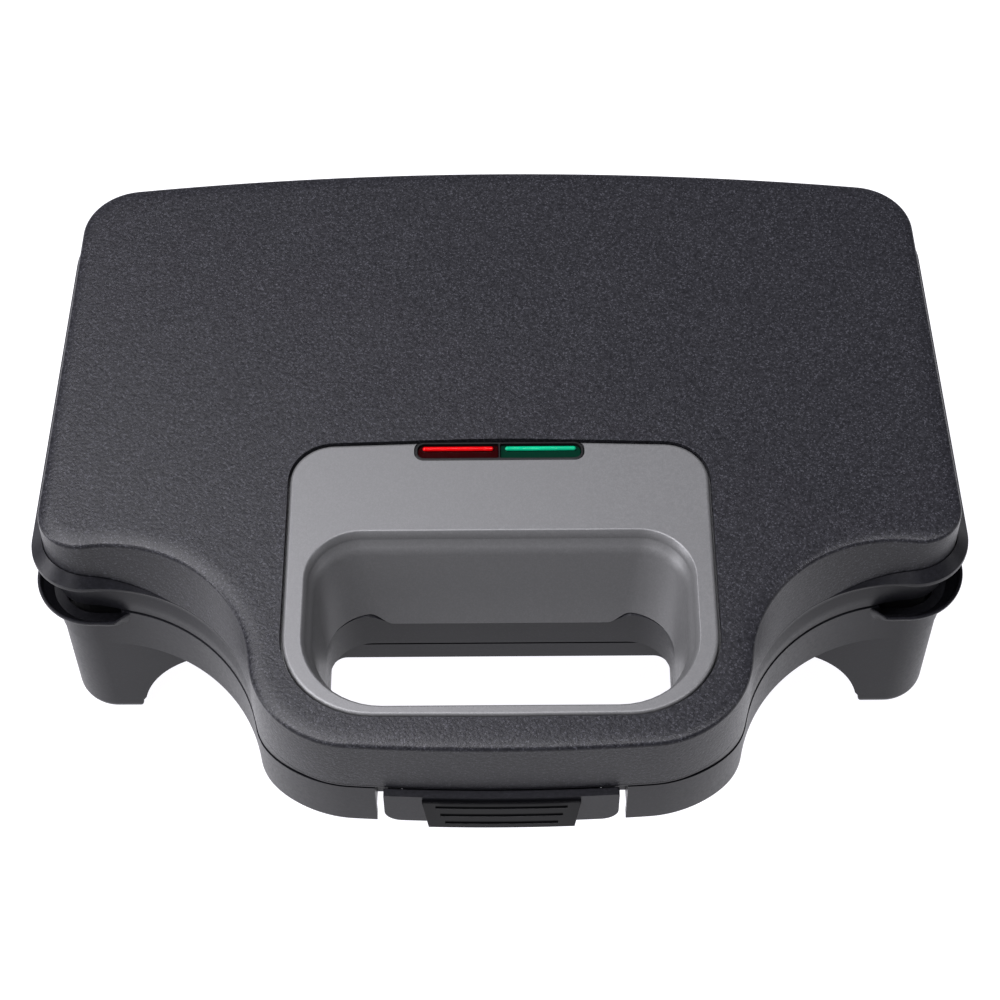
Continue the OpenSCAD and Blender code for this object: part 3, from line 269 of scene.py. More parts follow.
def dyed_lens_with_painted_stripe(name, deep, bright):
    """To the eye: a dark, wet-looking body with a painted highlight stripe and a faint painted glow."""
    material, tree, shader, place = start(name)
    height = add(tree, "ShaderNodeSeparateXYZ", None, {"Vector": place}).outputs["Z"]
    # painted highlight: all above 79.2 mm, the light guide, is coloured as a bright stripe, a little uneven
    painted_stripe_mask = add(tree, "ShaderNodeMapRange", {"From Min": stripe_low * MM, "From Max": stripe_high * MM},
                {"Value": height})
    cloud = add(tree, "ShaderNodeTexNoise", {"Scale": lumps(2.5), "Detail": 1.0}, {"Vector": place})
    painted_stripe_unevenness = add(tree, "ShaderNodeMapRange",
                {"From Min": 0.3, "From Max": 0.7, "To Min": 0.8, "To Max": 1.0}, {"Value": cloud})
    painted_glow_share = add(tree, "ShaderNodeMath", {"operation": "MULTIPLY"}, {0: painted_stripe_mask, 1: painted_stripe_unevenness})
    colour = add(tree, "ShaderNodeMix", {"data_type": "RGBA", 6: linear(deep), 7: linear(bright)}, {0: painted_glow_share})
    # painted glow: the stripe's colour is also given out as light, though the lens has no lit lamp
    painted_glow_colour = add(tree, "ShaderNodeMix", {"data_type": "RGBA", 6: linear("#000000"), 7: linear(bright)},
                {0: painted_glow_share})
    ribs = add(tree, "ShaderNodeTexWave", {"bands_direction": "X", "Scale": rib_scale}, {"Vector": place})
    relief = add(tree, "ShaderNodeBump", {"Strength": 1.0, "Distance": 0.004 * MM},
                 {"Height": ribs.outputs["Fac"]})
    touch = add(tree, "ShaderNodeTexNoise", {"Scale": lumps(1.0), "Detail": 2.0}, {"Vector": place})
    rough = add(tree, "ShaderNodeMapRange",
                {"From Min": 0.3, "From Max": 0.7, "To Min": 0.10, "To Max": 0.16}, {"Value": touch})
    set_up(shader, {"Emission Strength": 0.05, "IOR": 1.585, "Specular IOR Level": 0.12},
           {"Base Color": colour.outputs[2], "Emission Color": painted_glow_colour.outputs[2], "Roughness": rough,
            "Normal": relief})
    return material


red_lens = dyed_lens_with_painted_stripe("polycarbonate_red", "#1c0102", "#b0060a")
green_lens = dyed_lens_with_painted_stripe("polycarbonate_green", "#021f15", "#08936a")
print("made", red_lens.name, green_lens.name)

# %% [markdown]
# ## The metals
# Sheet parts are aluminised steel, screws are zinc plated, pins are ground steel, the thermostat is brass,
# and the heaters are tubes of a nickel alloy annealed to a straw brown. A metal's colour is all reflection,
# so each is fully metallic, keeps the default IOR, and differs only in colour and roughness. Rolled or
# ground metal could have stretched highlights, but these parts are small and hidden, so a fine grain with
# larger patches in its tone does. The grain's width comes from the real surface: 0.12 mm for grinding, 0.9
# mm for the spangle of a dipped sheet.


# %% Metals
def metal(name, dark, pale, roughness, grain_mm, depth_mm):
    """To the eye: a grey or yellow reflection, uneven in brightness where the surface is uneven."""
    material, tree, shader, place = start(name)
    fine = add(tree, "ShaderNodeTexNoise", {"Scale": lumps(grain_mm), "Detail": 4.0, "Roughness": 0.65},
               {"Vector": place})
    patches = add(tree, "ShaderNodeTexNoise", {"Scale": lumps(grain_mm * 14), "Detail": 2.0},
                  {"Vector": place})
    patch_tone = add(tree, "ShaderNodeMapRange", {"From Min": 0.3, "From Max": 0.7, "To Max": 0.5},
                     {"Value": patches})
    tone = add(tree, "ShaderNodeMath", {"operation": "MULTIPLY_ADD", 1: 0.5}, {0: fine, 2: patch_tone})
    colour = add(tree, "ShaderNodeMix", {"data_type": "RGBA", 6: linear(dark), 7: linear(pale)}, {0: tone})
    rough = add(tree, "ShaderNodeMapRange",
                {"From Min": 0.3, "From Max": 0.7, "To Min": roughness - 0.06, "To Max": roughness + 0.06},
                {"Value": fine})
    relief = add(tree, "ShaderNodeBump", {"Strength": 1.0, "Distance": depth_mm * MM}, {"Height": fine})
    set_up(shader, {"Metallic": 1.0},
           {"Base Color": colour.outputs[2], "Roughness": rough, "Normal": relief})
    return material


sheet_steel = metal("aluminised_steel_sheet", "#a9aaa8", "#c6c7c5", 0.34, 0.9, 0.003)
zinc = metal("zinc_plated_steel", "#9fa2a4", "#c9cccd", 0.30, 0.25, 0.002)
ground_steel = metal("ground_steel", "#a8a9ab", "#c0c1c3", 0.22, 0.12, 0.001)
heater_tube = metal("annealed_nickel_alloy", "#6d6256", "#8d8378", 0.42, 0.5, 0.004)
brass = metal("brass", "#b08d4e", "#cdab6a", 0.3, 0.3, 0.002)
print("made", [m.name for m in (sheet_steel, zinc, ground_steel, heater_tube, brass)])

# %% [markdown]
# ## Coats, ceramic, wire sleeves and bulbs
# The cooking plates are die-cast aluminium under a black non-stick coat, sprayed on and baked, with pale
# mineral specks. The fuse and the terminal block are steatite ceramic, and the leads wear sleeves of
# silicone rubber. All three are a dull body colour with spots of another tone, which could be painted as an
# image, but a Voronoi pattern of 0.9 mm cells gives spots of an even size on any shape. The lamps' bulbs
# are plain frosted glass.

# %% Non-stick coat, ceramic, wire sleeve and bulb
spot_mm = 0.9


def coated(name, dark, pale, speck, roughness, grain_mm, depth_mm):
    """To the eye: a satin surface like fine orange peel, with small round specks."""
    material, tree, shader, place = start(name)
    peel = add(tree, "ShaderNodeTexNoise", {"Scale": lumps(grain_mm), "Detail": 3.0}, {"Vector": place})
    share = add(tree, "ShaderNodeMapRange", {"From Min": 0.3, "From Max": 0.7}, {"Value": peel})
    base = add(tree, "ShaderNodeMix", {"data_type": "RGBA", 6: linear(dark), 7: linear(pale)}, {0: share})
    spots = add(tree, "ShaderNodeTexVoronoi", {"Scale": cells(spot_mm)}, {"Vector": place})
    near = add(tree, "ShaderNodeMapRange", {"From Min": 0.10, "From Max": 0.16, "To Min": 1.0, "To Max": 0.0},
               {"Value": spots.outputs["Distance"]})
    colour = add(tree, "ShaderNodeMix", {"data_type": "RGBA", 7: linear(speck)},
                 {0: near, 6: base.outputs[2]})
    rough = add(tree, "ShaderNodeMapRange",
                {"From Min": 0.3, "From Max": 0.7, "To Min": roughness - 0.05, "To Max": roughness + 0.05},
                {"Value": peel})
    relief = add(tree, "ShaderNodeBump", {"Strength": 1.0, "Distance": depth_mm * MM}, {"Height": peel})
    set_up(shader, None, {"Base Color": colour.outputs[2], "Roughness": rough, "Normal": relief})
    return material


non_stick = coated("ptfe_on_cast_aluminium", "#1c1c1d", "#272728", "#4a4a4c", 0.36, 0.8, 0.012)
ceramic = coated("steatite_ceramic", "#d9d5c8", "#e6e2d6", "#cfcabb", 0.5, 0.4, 0.004)
silicone = coated("silicone_sleeve", "#9c2f22", "#b23b2c", "#8a2a1f", 0.6, 0.3, 0.004)
bulb, bulb_tree, bulb_shader, bulb_place = start("neon_bulb_glass")
frost = add(bulb_tree, "ShaderNodeTexNoise", {"Scale": lumps(1.5), "Detail": 2.0}, {"Vector": bulb_place})
milk = add(bulb_tree, "ShaderNodeMix",
           {"data_type": "RGBA", 6: linear("#e8dfd0"), 7: linear("#f4efe6")}, {0: frost})
set_up(bulb_shader, {"Roughness": 0.08, "Transmission Weight": 0.6}, {"Base Color": milk.outputs[2]})
print("made", non_stick.name, ceramic.name, silicone.name, bulb.name)

# %% [markdown]
# ## Finishes for the engineering parts
# Many parts inside the toaster have the right shape already: screws, pins, heaters, sheet trays. They could
# be built again like the shells, but nothing would be gained, so they stay as they are. Each takes its
# finish in place of the flat colour it came with, and one table says which part is made of what.

# %% Finish each engineering part
finish_of = {
    "lens_holder": black_nylon, "power_lamp": bulb, "ready_lamp": bulb,
    "lid_screws": zinc, "base_screws": zinc, "upper_plate_screws": zinc, "lower_plate_screws": zinc,
    "upper_heater": heater_tube, "lower_heater": heater_tube,
    "upper_heater_clips": sheet_steel, "lower_heater_clips": sheet_steel,
    "upper_reflector": sheet_steel, "lower_reflector": sheet_steel,
    "upper_wires": silicone, "lower_wires": silicone, "thermostat": brass, "thermal_fuse": ceramic,
    "terminal_block": ceramic, "cord_gland": rubber, "latch_pin": ground_steel,
    "hinge_pin_left": ground_steel, "hinge_pin_right": ground_steel,
    "foot_pad_front_left": rubber, "foot_pad_front_right": rubber,
    "foot_pad_rear_left": rubber, "foot_pad_rear_right": rubber,
    "power_lens": red_lens, "ready_lens": green_lens, "upper_plate": non_stick, "lower_plate": non_stick,
    "lid_cover": pearl, "lid_frame": satin, "base_housing": satin, "base_frame": black_nylon,
    "handle_insert": grey_paint, "latch_clip": satin, "latch_thumb_pad": gloss_black,
}
for name, material in finish_of.items():
    nodes[name].data.materials.clear()
    nodes[name].data.materials.append(material)
print("finished", len(finish_of), "of", len(nodes), "parts")

# %% [markdown]
# ## Outlines
# Seen from above, lid and base share one outline of arcs that run smoothly into each other: a bowed front,
# round handle corners, a hollow neck, the body's corners and a bowed back. The neck fills out from the top
# of the lid down to the seam. The shells could be modelled over the photograph by eye, but then no two
# edges would quite agree, so every piece is worked out from one set of sizes: the plates, the rooms round
# them, and the handle. All sizes are in millimetres until a piece is finished.

# %% Sizes of the two shells
# the plates, and the room that the body leaves round them
plate_w, plate_d, wall = 200, 104, 2.4
side_room, front_room, back_room, rear_taper = 14.5, 9.6, 9.9, 5.5
body_w, body_d = plate_w + 2 * side_room, front_room + plate_d + back_room
rear_w = body_w - rear_taper
# the arcs of the outline, the handle and its neck
front_corner_r, rear_corner_r, back_bow_r = 11.5, 16, 840
handle_reach, handle_w, handle_corner_r, front_bow_r = 57, 121, 26.5, 520
neck_r, seam_neck_r = 36, 43
# heights from the table upwards, and the rise of the seam towards the front
leg_h, base_h, frame_h, cover_h, band_h = 30, 22, 10, 18, 16
handle_lift, lift_run = 9, 26
# gaps, the lean of the walls, and the lips at the seam
lid_gap, rim_drop, draft = 0.6, 0.4, 0.5
lip_w, lip_rise, flare_w = 3, 6.8, 4
# the hinge behind the body, the play of a pin, and how far the latch stands out in front
hinge_back, eye_r, pin_r, pin_play, latch_reach = 5.5, 5, 2.5, 0.06, 4
# cutters reach this far out and up, beyond every piece
far, sky = 200, 120

parting_z = leg_h + base_h
skirt_z = parting_z + frame_h
top_z = skirt_z + cover_h
band_z = parting_z - band_h
base_top, frame_low = parting_z - lid_gap / 2, parting_z + lid_gap / 2
rim_z = base_top - rim_drop
floor_z = leg_h + wall
front_y = latch_reach - (latch_reach + handle_reach + body_d + hinge_back + eye_r) / 2
corner_y = front_y + handle_reach
back_y = corner_y + body_d
hinge_y, hinge_z = back_y + hinge_back, parting_z
print("front", front_y, "corner", corner_y, "back", back_y, "top", top_z)


# %% [markdown]
# ## Arcs that run into each other
# An outline is a chain of arcs that share their tangents where they meet, as if drawn with compasses. A
# Bezier curve could follow the same line, but its points would have to be placed by eye. Here the middle of
# each arc is worked out: the circle of the neck touches the circles of the handle's corner and of the
# body's corner, so its middle lies where two larger circles meet. Each point of the outline keeps the
# direction that faces outwards, so a wall, a lip or a rounded edge is the same outline moved in or out.

# %% Arcs and outlines
def ease(t):
    """A smooth step, from 0 at t = 0 and below to 1 at t = 1 and above."""
    u = min(1.0, max(0.0, t))
    return u * u * (3 - 2 * u)


def bearing(v):
    """The direction of a vector in degrees."""
    return math.degrees(math.atan2(v.y, v.x))


def meet(a, ra, b, rb):
    """Where two circles meet, on the right of the way from a to b."""
    u = (b - a).normalized()
    d = (b - a).length
    t = (ra * ra - rb * rb + d * d) / (2 * d)
    return a + t * u + math.sqrt(ra * ra - t * t) * Vector((u.y, -u.x))


def arc(c, r, a0, a1, n, bend=1, last=0):
    """Stations (x, y, outward x, outward y) along an arc."""
    angles = [math.radians(a0 + (a1 - a0) * i / n) for i in range(n + last)]
    return [(c.x + r * math.cos(a), c.y + r * math.sin(a), bend * math.cos(a), bend * math.sin(a))
            for a in angles]


def both_halves(half):
    """The right half of an outline and its mirror image, back to the start."""
    return half + [(-x, y, -nx, ny) for x, y, nx, ny in reversed(half[1:-1])]


front_c = Vector((0, front_y + front_bow_r))
lobe_x = handle_w / 2 - handle_corner_r
lobe_c = Vector((lobe_x, front_c.y - math.sqrt((front_bow_r - handle_corner_r) ** 2 - lobe_x ** 2)))
corner_c = Vector((body_w / 2 - front_corner_r, corner_y + front_corner_r))
back_c = Vector((0, back_y - back_bow_r))
rear_x = rear_w / 2 - rear_corner_r
rear_c = Vector((rear_x, back_c.y + math.sqrt((back_bow_r - rear_corner_r) ** 2 - rear_x ** 2)))
side_angle = bearing(rear_c - corner_c) - math.degrees(
    math.acos((front_corner_r - rear_corner_r) / (rear_c - corner_c).length))
lobe_start, rear_end = bearing(lobe_c - front_c), bearing(rear_c - back_c)
rear_half = (arc(rear_c, rear_corner_r, side_angle, rear_end, 20)
             + arc(back_c, back_bow_r, rear_end, 90, 18, last=1))


def outline_at(neck):
    """The whole outline of lid and base, with the handle, for a neck of the given radius."""
    c = meet(lobe_c, handle_corner_r + neck, corner_c, neck + front_corner_r)
    lobe_end, neck_end = bearing(c - lobe_c), bearing(corner_c - c)
    return both_halves(
        arc(front_c, front_bow_r, -90, lobe_start, 14)
        + arc(lobe_c, handle_corner_r, lobe_start, lobe_end, 28)
        + arc(c, neck, lobe_end + 180, neck_end, 32, bend=-1)
        + arc(corner_c, front_corner_r, neck_end - 180, side_angle, 24, last=1) + rear_half)


outline = outline_at(neck_r)
skirt_outline = outline_at(neck_r + (seam_neck_r - neck_r) * cover_h / (cover_h + frame_h))
seam_outline = outline_at(seam_neck_r)
body_outline = both_halves(
    [(0, corner_y, 0, -1)] + arc(corner_c, front_corner_r, -90, side_angle, 20, last=1) + rear_half)
print("stations round the outline:", len(outline))


# %% [markdown]
# ## Walls, corners and the rising seam
# A ring is an outline at a height, moved in or out, and walls are skinned through such rings. Small shapes,
# such as the window for the insert or a lens, start from straight sides that are moved and then rounded.
# The offset and bevel tools could do this on a mesh, but worked out beforehand each corner keeps its own
# radius. Towards the front of the handle the seam between lid and base rises, and one function says by how
# much.

# %% Walls from outlines
def plan(stations, d):
    """An outline moved outwards by d."""
    return [(x + d * nx, y + d * ny) for x, y, nx, ny in stations]


def ring(stations, d, z):
    """The same at a height."""
    return [(x, y, z) for x, y in plan(stations, d)]


def lift(y):
    """How far the parting line has risen towards the front of the handle."""
    return handle_lift * ease((front_y + lift_run - y) / lift_run)


def inset(points, d):
    """A convex outline with each side moved inwards by d."""
    out, n = [], len(points)
    for i in range(n):
        p = Vector(points[i])
        a, b = (p - Vector(points[i - 1])).normalized(), (Vector(points[(i + 1) % n]) - p).normalized()
        na, nb = Vector((-a.y, a.x)), Vector((-b.y, b.x))
        out.append(tuple(p + d * (na + nb) / (1 + na.dot(nb))))
    return out


def rounded(points, radii, n=12):
    """A convex outline with its corners rounded, n steps per corner."""
    out, m = [], len(points)
    for i, r in enumerate(radii):
        p = Vector(points[i])
        a, b = (p - Vector(points[i - 1])).normalized(), (Vector(points[(i + 1) % m]) - p).normalized()
        na, nb = Vector((-a.y, a.x)), Vector((-b.y, b.x))
        c = p + r * (na + nb) / (1 + na.dot(nb))
        a0, turn = bearing(-na), math.degrees(math.acos(min(1, a.dot(b))))
        for k in range(n + 1):
            t = math.radians(a0 + turn * k / n)
            out.append((c.x + r * math.cos(t), c.y + r * math.sin(t)))
    return out


def box_plan(x0, x1, y0, y1):
    """A rectangle, counter-clockwise."""
    return [(x0, y0), (x1, y0), (x1, y1), (x0, y1)]


def at_z(points, z):
    """A plan at a height."""
    return [(x, y, z) for x, y in points]


print("rise at the handle front:", lift(front_y), "mm")

# %% [markdown]
# ## Solids
# A wall is skinned through a stack of rings, a bar is an outline drawn out along one axis, and a hole is
# one solid taken from another. All of it could be modelled face by face, but a part built the way a
# toolmaker would cut it stays closed and easy to change.


# %% Closed meshes
def solid(points, faces):
    """An object from points and faces, with its faces turned outwards."""
    mesh = bpy.data.meshes.new("solid")
    mesh.from_pydata(points, [], faces)
    work = bmesh.new()
    work.from_mesh(mesh)
    bmesh.ops.recalc_face_normals(work, faces=work.faces)
    work.to_mesh(mesh)
    work.free()
    piece = bpy.data.objects.new("solid", mesh)
    scene.collection.objects.link(piece)
    return piece


def skin(rings, closed_section=False):
    """A solid through a stack of rings: capped at both ends, or with a section that closes on itself."""
    n, rows = len(rings[0]), len(rings)
    points = [p for r in rings for p in r]
    faces = []
    for k in range(rows if closed_section else rows - 1):
        for i in range(n):
            lo, hi, j = k * n, (k + 1) % rows * n, (i + 1) % n
            faces.append((lo + i, lo + j, hi + j, hi + i))
    if not closed_section:
        faces.append(tuple(reversed(range(n))))
        faces.append(tuple(range((rows - 1) * n, rows * n)))
    return solid(points, faces)


def drawn(points, lo, hi, axis="Z"):
    """An outline drawn out along an axis; for X the outline is (y, z), for Y it is (x, z)."""
    place = {"Z": lambda u, v, w: (u, v, w), "X": lambda u, v, w: (w, u, v), "Y": lambda u, v, w: (u, w, v)}
    return skin([[place[axis](u, v, w) for u, v in points] for w in (lo, hi)])


def block(x0, x1, y0, y1, z0, z1):
    """A box from corner to corner."""
    return drawn(box_plan(x0, x1, y0, y1), z0, z1)


def disc(c, r, n=48):
    """A circle of n points round c."""
    turn = [2 * math.pi * i / n for i in range(n)]
    return [(c[0] + r * math.cos(a), c[1] + r * math.sin(a)) for a in turn]


def rod(c, r, lo, hi, axis="X", n=48):
    """A round bar whose centre c is given in the plane that it crosses."""
    return drawn(disc(c, r, n), lo, hi, axis)


brick = block(0, 10, 0, 10, 0, 10)
print("a plain block has", len(brick.data.polygons), "faces")

# %% [markdown]
# ## Joining and cutting
# Solids are joined, cut or intersected by Blender's boolean modifier. It could stay on the piece as a live
# modifier, but a shell with forty cutters would then be slow and full of helpers. So each cut is applied at
# once and its tool is thrown away. The manifold solver is the fast one, as all of these meshes are closed.


# %% Joining and cutting
def edit(base, operation, tools):
    """Joins, cuts or intersects a solid with others, one after the other, and removes the tools."""
    for tool in tools:
        modifier = base.modifiers.new("edit", "BOOLEAN")
        modifier.operation, modifier.solver, modifier.object = operation, "MANIFOLD", tool
        seen = base.evaluated_get(bpy.context.evaluated_depsgraph_get())
        mesh = bpy.data.meshes.new_from_object(seen)
        base.modifiers.clear()
        base.data = mesh
        bpy.data.objects.remove(tool)
    return base


def join(base, *tools):
    """A solid with others added to it."""
    return edit(base, "UNION", tools)


def cut(base, *tools):
    """A solid with others taken away from it."""
    return edit(base, "DIFFERENCE", tools)


def common(base, *tools):
    """What a solid has in common with the others."""
    return edit(base, "INTERSECT", tools)


def mirrored(make):
    """The same solid on the left and on the right."""
    right, left = make(), make()
    left.data.transform(Matrix.Scale(-1, 4, (1, 0, 0)))
    left.data.flip_normals()
    return [right, left]


def lifted(z0, z1):
    """A slab across the whole width that follows the rise of the parting line."""
    ys = [front_y + lift_run * i / 36 for i in range(37)]
    line = [(front_y - 6, handle_lift)] + [(y, lift(y)) for y in ys] + [(back_y + 8, 0)]
    low, high = [(y, z0 + rise) for y, rise in line], [(y, z1 + rise) for y, rise in line]
    return drawn(low + high[::-1], -far, far, "X")


cut(brick, rod((5, 5), 3, -1, 11, "Z"))
print("with a hole it has", len(brick.data.polygons), "faces")
bpy.data.objects.remove(brick)


# %% [markdown]
# ## From a cut solid to a finished piece
# Every moulding ends in the same way: millimetres become metres, and the piece takes its finish and rides
# on its body. Flat shading would show each step of a curve and smooth shading would smear the flat faces,
# so only folds sharper than the crease angle stay sharp, and large faces weigh more in the normals. A small
# bevel can soften the edges that catch the light.

# %% Finish a piece
def finish_piece(piece, name, body, material, replaced, crease=32, bevel=0.0):
    """Millimetres to metres, smooth shading with sharp creases, finish, and the body it rides on."""
    piece.name = piece.data.name = name
    piece.data.transform(Matrix.Scale(MM, 4))
    if bevel:
        soften = piece.modifiers.new("soft edges", "BEVEL")
        soften.width, soften.segments, soften.limit_method = bevel * MM, 2, "ANGLE"
        soften.angle_limit = math.radians(crease)
    piece.data.shade_smooth()
    piece.data.set_sharp_from_angle(angle=math.radians(crease))
    piece.modifiers.new("flat faces stay flat", "WEIGHTED_NORMAL").keep_sharp = True
    piece.data.materials.clear()
    piece.data.materials.append(material)
    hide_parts(*replaced)
    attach(piece, body)
    lo, hi = piece.bound_box[0], piece.bound_box[6]
    size = [round((b - a) / MM, 1) for a, b in zip(lo, hi)]
    print(name, "faces", len(piece.data.polygons), "size mm", size)


# %% [markdown]
# ## Plans of the handle
# The handle is a frame round an opening for the fingers. The insert, the lid's frame and the base all have
# a wall round that opening, and the cover has a window that fits the insert. Each could be drawn by itself,
# but then the gaps between them would vary. So the opening and the insert are two functions that return a
# plan, grown or shrunk by the amount that a piece needs.

# %% Plans of the handle
opening_w, opening_d, grip_d = 86, 36, 13.7
opening_front_r, opening_r, low_opening_r = 16, 11, 4
lining_t, sleeve_h = 2.2, 5.5
insert_w, insert_d, insert_bow, insert_gap, throat_w, throat_slope = 104, 79, 1.6, 0.5, 91.6, 11
opening_front = front_y + grip_d
opening_back = opening_front + opening_d
insert_front = front_y + 10
insert_back = insert_front + insert_d


def opening(grow, rear_r=opening_r):
    """Plan of the finger opening."""
    corners = inset(box_plan(-opening_w / 2, opening_w / 2, opening_front, opening_back), -grow)
    return rounded(corners, [opening_front_r + grow] * 2 + [rear_r + grow] * 2)


def insert_plan(grow):
    """Plan of the insert, with a front and a back that are slightly bowed."""
    x, back, bow = insert_w / 2, insert_back - insert_bow, insert_bow / 4
    corners = [(0, insert_front - bow), (x, insert_front), (x, back), (0, insert_back), (-x, back),
               (-x, insert_front)]
    front_r, back_r = 22 + grow, 11 + grow
    return rounded(inset(corners, -grow), [400, front_r, back_r, 300, back_r, front_r])


print("finger opening from y", opening_front, "to", opening_back)

# %% [markdown]
# ## The lid cover
# The cover is one moulding with a rounded top edge, and its walls lean in by half a millimetre so that it
# leaves the mould. It could be a block with a bevel, but a bevel has one radius, and here a tight turn runs
# into a slow crown. So the cover is one closed shell, skinned through rings that follow that profile
# outside and inside, and the window for the grey insert is cut through it.

# %% Lid cover
cover_in = wall + draft
crown_w, crown_h, turn_r, turn_end = 6.0, 0.5, 1.1, 72
top_edge = []
for a in [math.radians(turn_end * i / 9) for i in range(9)]:
    fall = crown_h + turn_r * (math.sin(math.radians(turn_end)) - math.sin(a))
    top_edge.append(ring(outline, -draft - turn_r * (1 - math.cos(a)), top_z - fall))
crown_start = draft + turn_r * (1 - math.cos(math.radians(turn_end)))
for u in [(i / 12) ** 1.5 for i in range(13)]:
    top_edge.append(ring(outline, -crown_start - crown_w * u, top_z - crown_h * (1 - u) ** 4))
cover = skin(
    [ring(outline, -cover_in - 1, top_z - wall), ring(outline, -cover_in, top_z - wall - 1),
     ring(skirt_outline, -wall, skirt_z + 0.3), ring(skirt_outline, -wall + 0.3, skirt_z),
     ring(skirt_outline, -0.06, skirt_z), ring(skirt_outline, 0, skirt_z + 0.06)] + top_edge)
cut(cover, drawn(insert_plan(insert_gap), top_z - wall - 1, top_z + 1))
finish_piece(cover, "cover_shell", "lid", pearl, ["lid_cover"], bevel=0.15)

# %% [markdown]
# ## The throat of the grey insert
# The insert is a shallow tray round a throat that narrows downwards, so that fingers slide in from above.
# The throat's top edge rolls over softly. It could be cut straight and then bevelled, but the roll is tight
# at the lip and wide below it. So the hollow itself is skinned through rings along two arcs, to be cut out
# later.

# %% Throat of the insert
throat_low = skirt_z - 5
throat_rim = throat_low + 2.5
throat_front_r, throat_rear_r = 18, 12
tongue_w, tongue_run = 56, 6
insert_t = 2.3
insert_top = top_z - 0.2


def throat(grow, t):
    """Plan of the throat, at its foot for t = 0 and at its top for t = 1."""
    w = opening_w + (throat_w - opening_w) * t - 1.2 * (1 - t)
    back = opening_back - 0.5 + throat_slope * t
    corners = inset(box_plan(-w / 2, w / 2, opening_front + 0.3, back), -grow)
    return rounded(corners, [throat_front_r + grow] * 2 + [throat_rear_r + grow] * 2)


roll_w, lip_r, sweep_r = 2.0, 0.5, 4.0
steep = math.radians(55)
roll = [(roll_w - lip_r * math.sin(a), -lip_r * (1 - math.cos(a))) for a in [steep * i / 5 for i in range(6)]]
lip_end = roll[-1]
for a in [math.radians(60 + 5 * i) for i in range(6)]:
    roll.append((lip_end[0] - sweep_r * (math.sin(a) - math.sin(steep)),
                 lip_end[1] - sweep_r * (math.cos(steep) - math.cos(a))))
roll_rings = [at_z(throat(d, 0.98 + 0.023 * z), insert_top + z) for d, z in reversed(roll)]
throat_hollow = skin(
    [at_z(throat(0, -0.06), throat_low - 1), at_z(throat(0, 0.4), throat_low + 8),
     at_z(throat(0, 0.76), insert_top - 5.2), at_z(throat(0.4, 0.87), insert_top - 3.6)]
    + roll_rings + [at_z(throat(roll_w + 1.2, 1), insert_top + 0.36)])
print("rings in the throat:", len(roll) + 4)

# %% [markdown]
# ## The lens bars
# Two bars lie end to end in a dark holder that is let into the back edge of the insert. Each is a flat bar
# with rounded outer corners and a half-round light guide on top. The guide could be a bump in the finish,
# but then its ends would catch no light, so it is a real ridge with round ends, joined to the bar.

# %% Lens bars
lens_l, lens_w, bezel, lens_gap = 20.2, 4.2, 0.8, 0.5
lens_y = insert_back - lens_w / 2 - bezel - 0.35
guide_r, guide_end, guide_y = 0.62, 1.2, lens_y + 0.9


def bezel_plan(grow):
    """Plan of the holder round both lenses."""
    long, wide = lens_l + lens_gap / 2 + bezel + grow, lens_w / 2 + bezel + grow
    return rounded(box_plan(-long, long, lens_y - wide, lens_y + wide), [2.4 + grow] * 4, 10)


def lens_plan(grow):
    """Plan of the right lens."""
    wide = lens_w / 2 + grow
    return rounded(box_plan(lens_gap / 2 - grow, lens_gap / 2 + lens_l + grow, lens_y - wide, lens_y + wide),
                   [0.4, 1.8, 1.8, 0.4], 10)


def lens_bar():
    """A dyed bar with a half-round light guide along its back half."""
    bar = skin([at_z(lens_plan(0), top_z - 2.5), at_z(lens_plan(0), top_z - 1.1),
                at_z(lens_plan(-0.12), top_z - 0.98)])
    x0, x1 = lens_gap / 2 + guide_end, lens_gap / 2 + lens_l - guide_end
    turn = [math.radians(15 * i) for i in range(1, 7)]
    near = [(x0 + guide_r * (1 - math.cos(a)), guide_r * math.sin(a)) for a in turn]
    far_end = [(x0 + x1 - x, r) for x, r in reversed(near)]
    guide = skin([[(x, guide_y + u, top_z - 0.8 + v) for u, v in disc((0, 0), r, 24)]
                  for x, r in near + far_end])
    return join(bar, guide)


right_bar, left_bar = mirrored(lens_bar)
print("a lens bar has", len(right_bar.data.polygons), "faces")

# %% [markdown]
# ## The insert panel
# The panel is skinned from the flange below the cover up to its softened rim. The wall of the throat is
# added under it, and the throat and the seat of the lens holder are cut out. A tongue hangs lower in the
# middle of the throat's back wall. It could be a plate glued on, but on the real insert it is the wall
# itself, so its lower edge is drawn in front view and the wall is trimmed along that line.

# %% Insert panel
panel = skin([
    at_z(insert_plan(3), insert_top - insert_t - 1.8), at_z(insert_plan(3), insert_top - insert_t - 0.2),
    at_z(insert_plan(0), insert_top - insert_t - 0.1), at_z(insert_plan(0), insert_top - 0.8),
    at_z(insert_plan(-0.1), insert_top - 0.45), at_z(insert_plan(-0.3), insert_top - 0.2),
    at_z(insert_plan(-0.6), insert_top - 0.05), at_z(insert_plan(-0.9), insert_top)])
chute = skin([at_z(throat(2, 0), throat_low), at_z(throat(2, 0.9), insert_top - insert_t)])
below_rim = lifted(0, throat_rim)


def tongue_plan(grow):
    """Front view of the tongue, whose lower edge rises in an S-curve to the throat's rim at each end."""
    half, rise = tongue_w / 2 - 1.5 + grow, throat_rim - throat_low
    side = [(half + tongue_run * i / 12, throat_low - grow + rise * ease(i / 12)) for i in range(13)]
    side.append((half + tongue_run, throat_rim + 2))
    return side + [(-x, z) for x, z in reversed(side)]


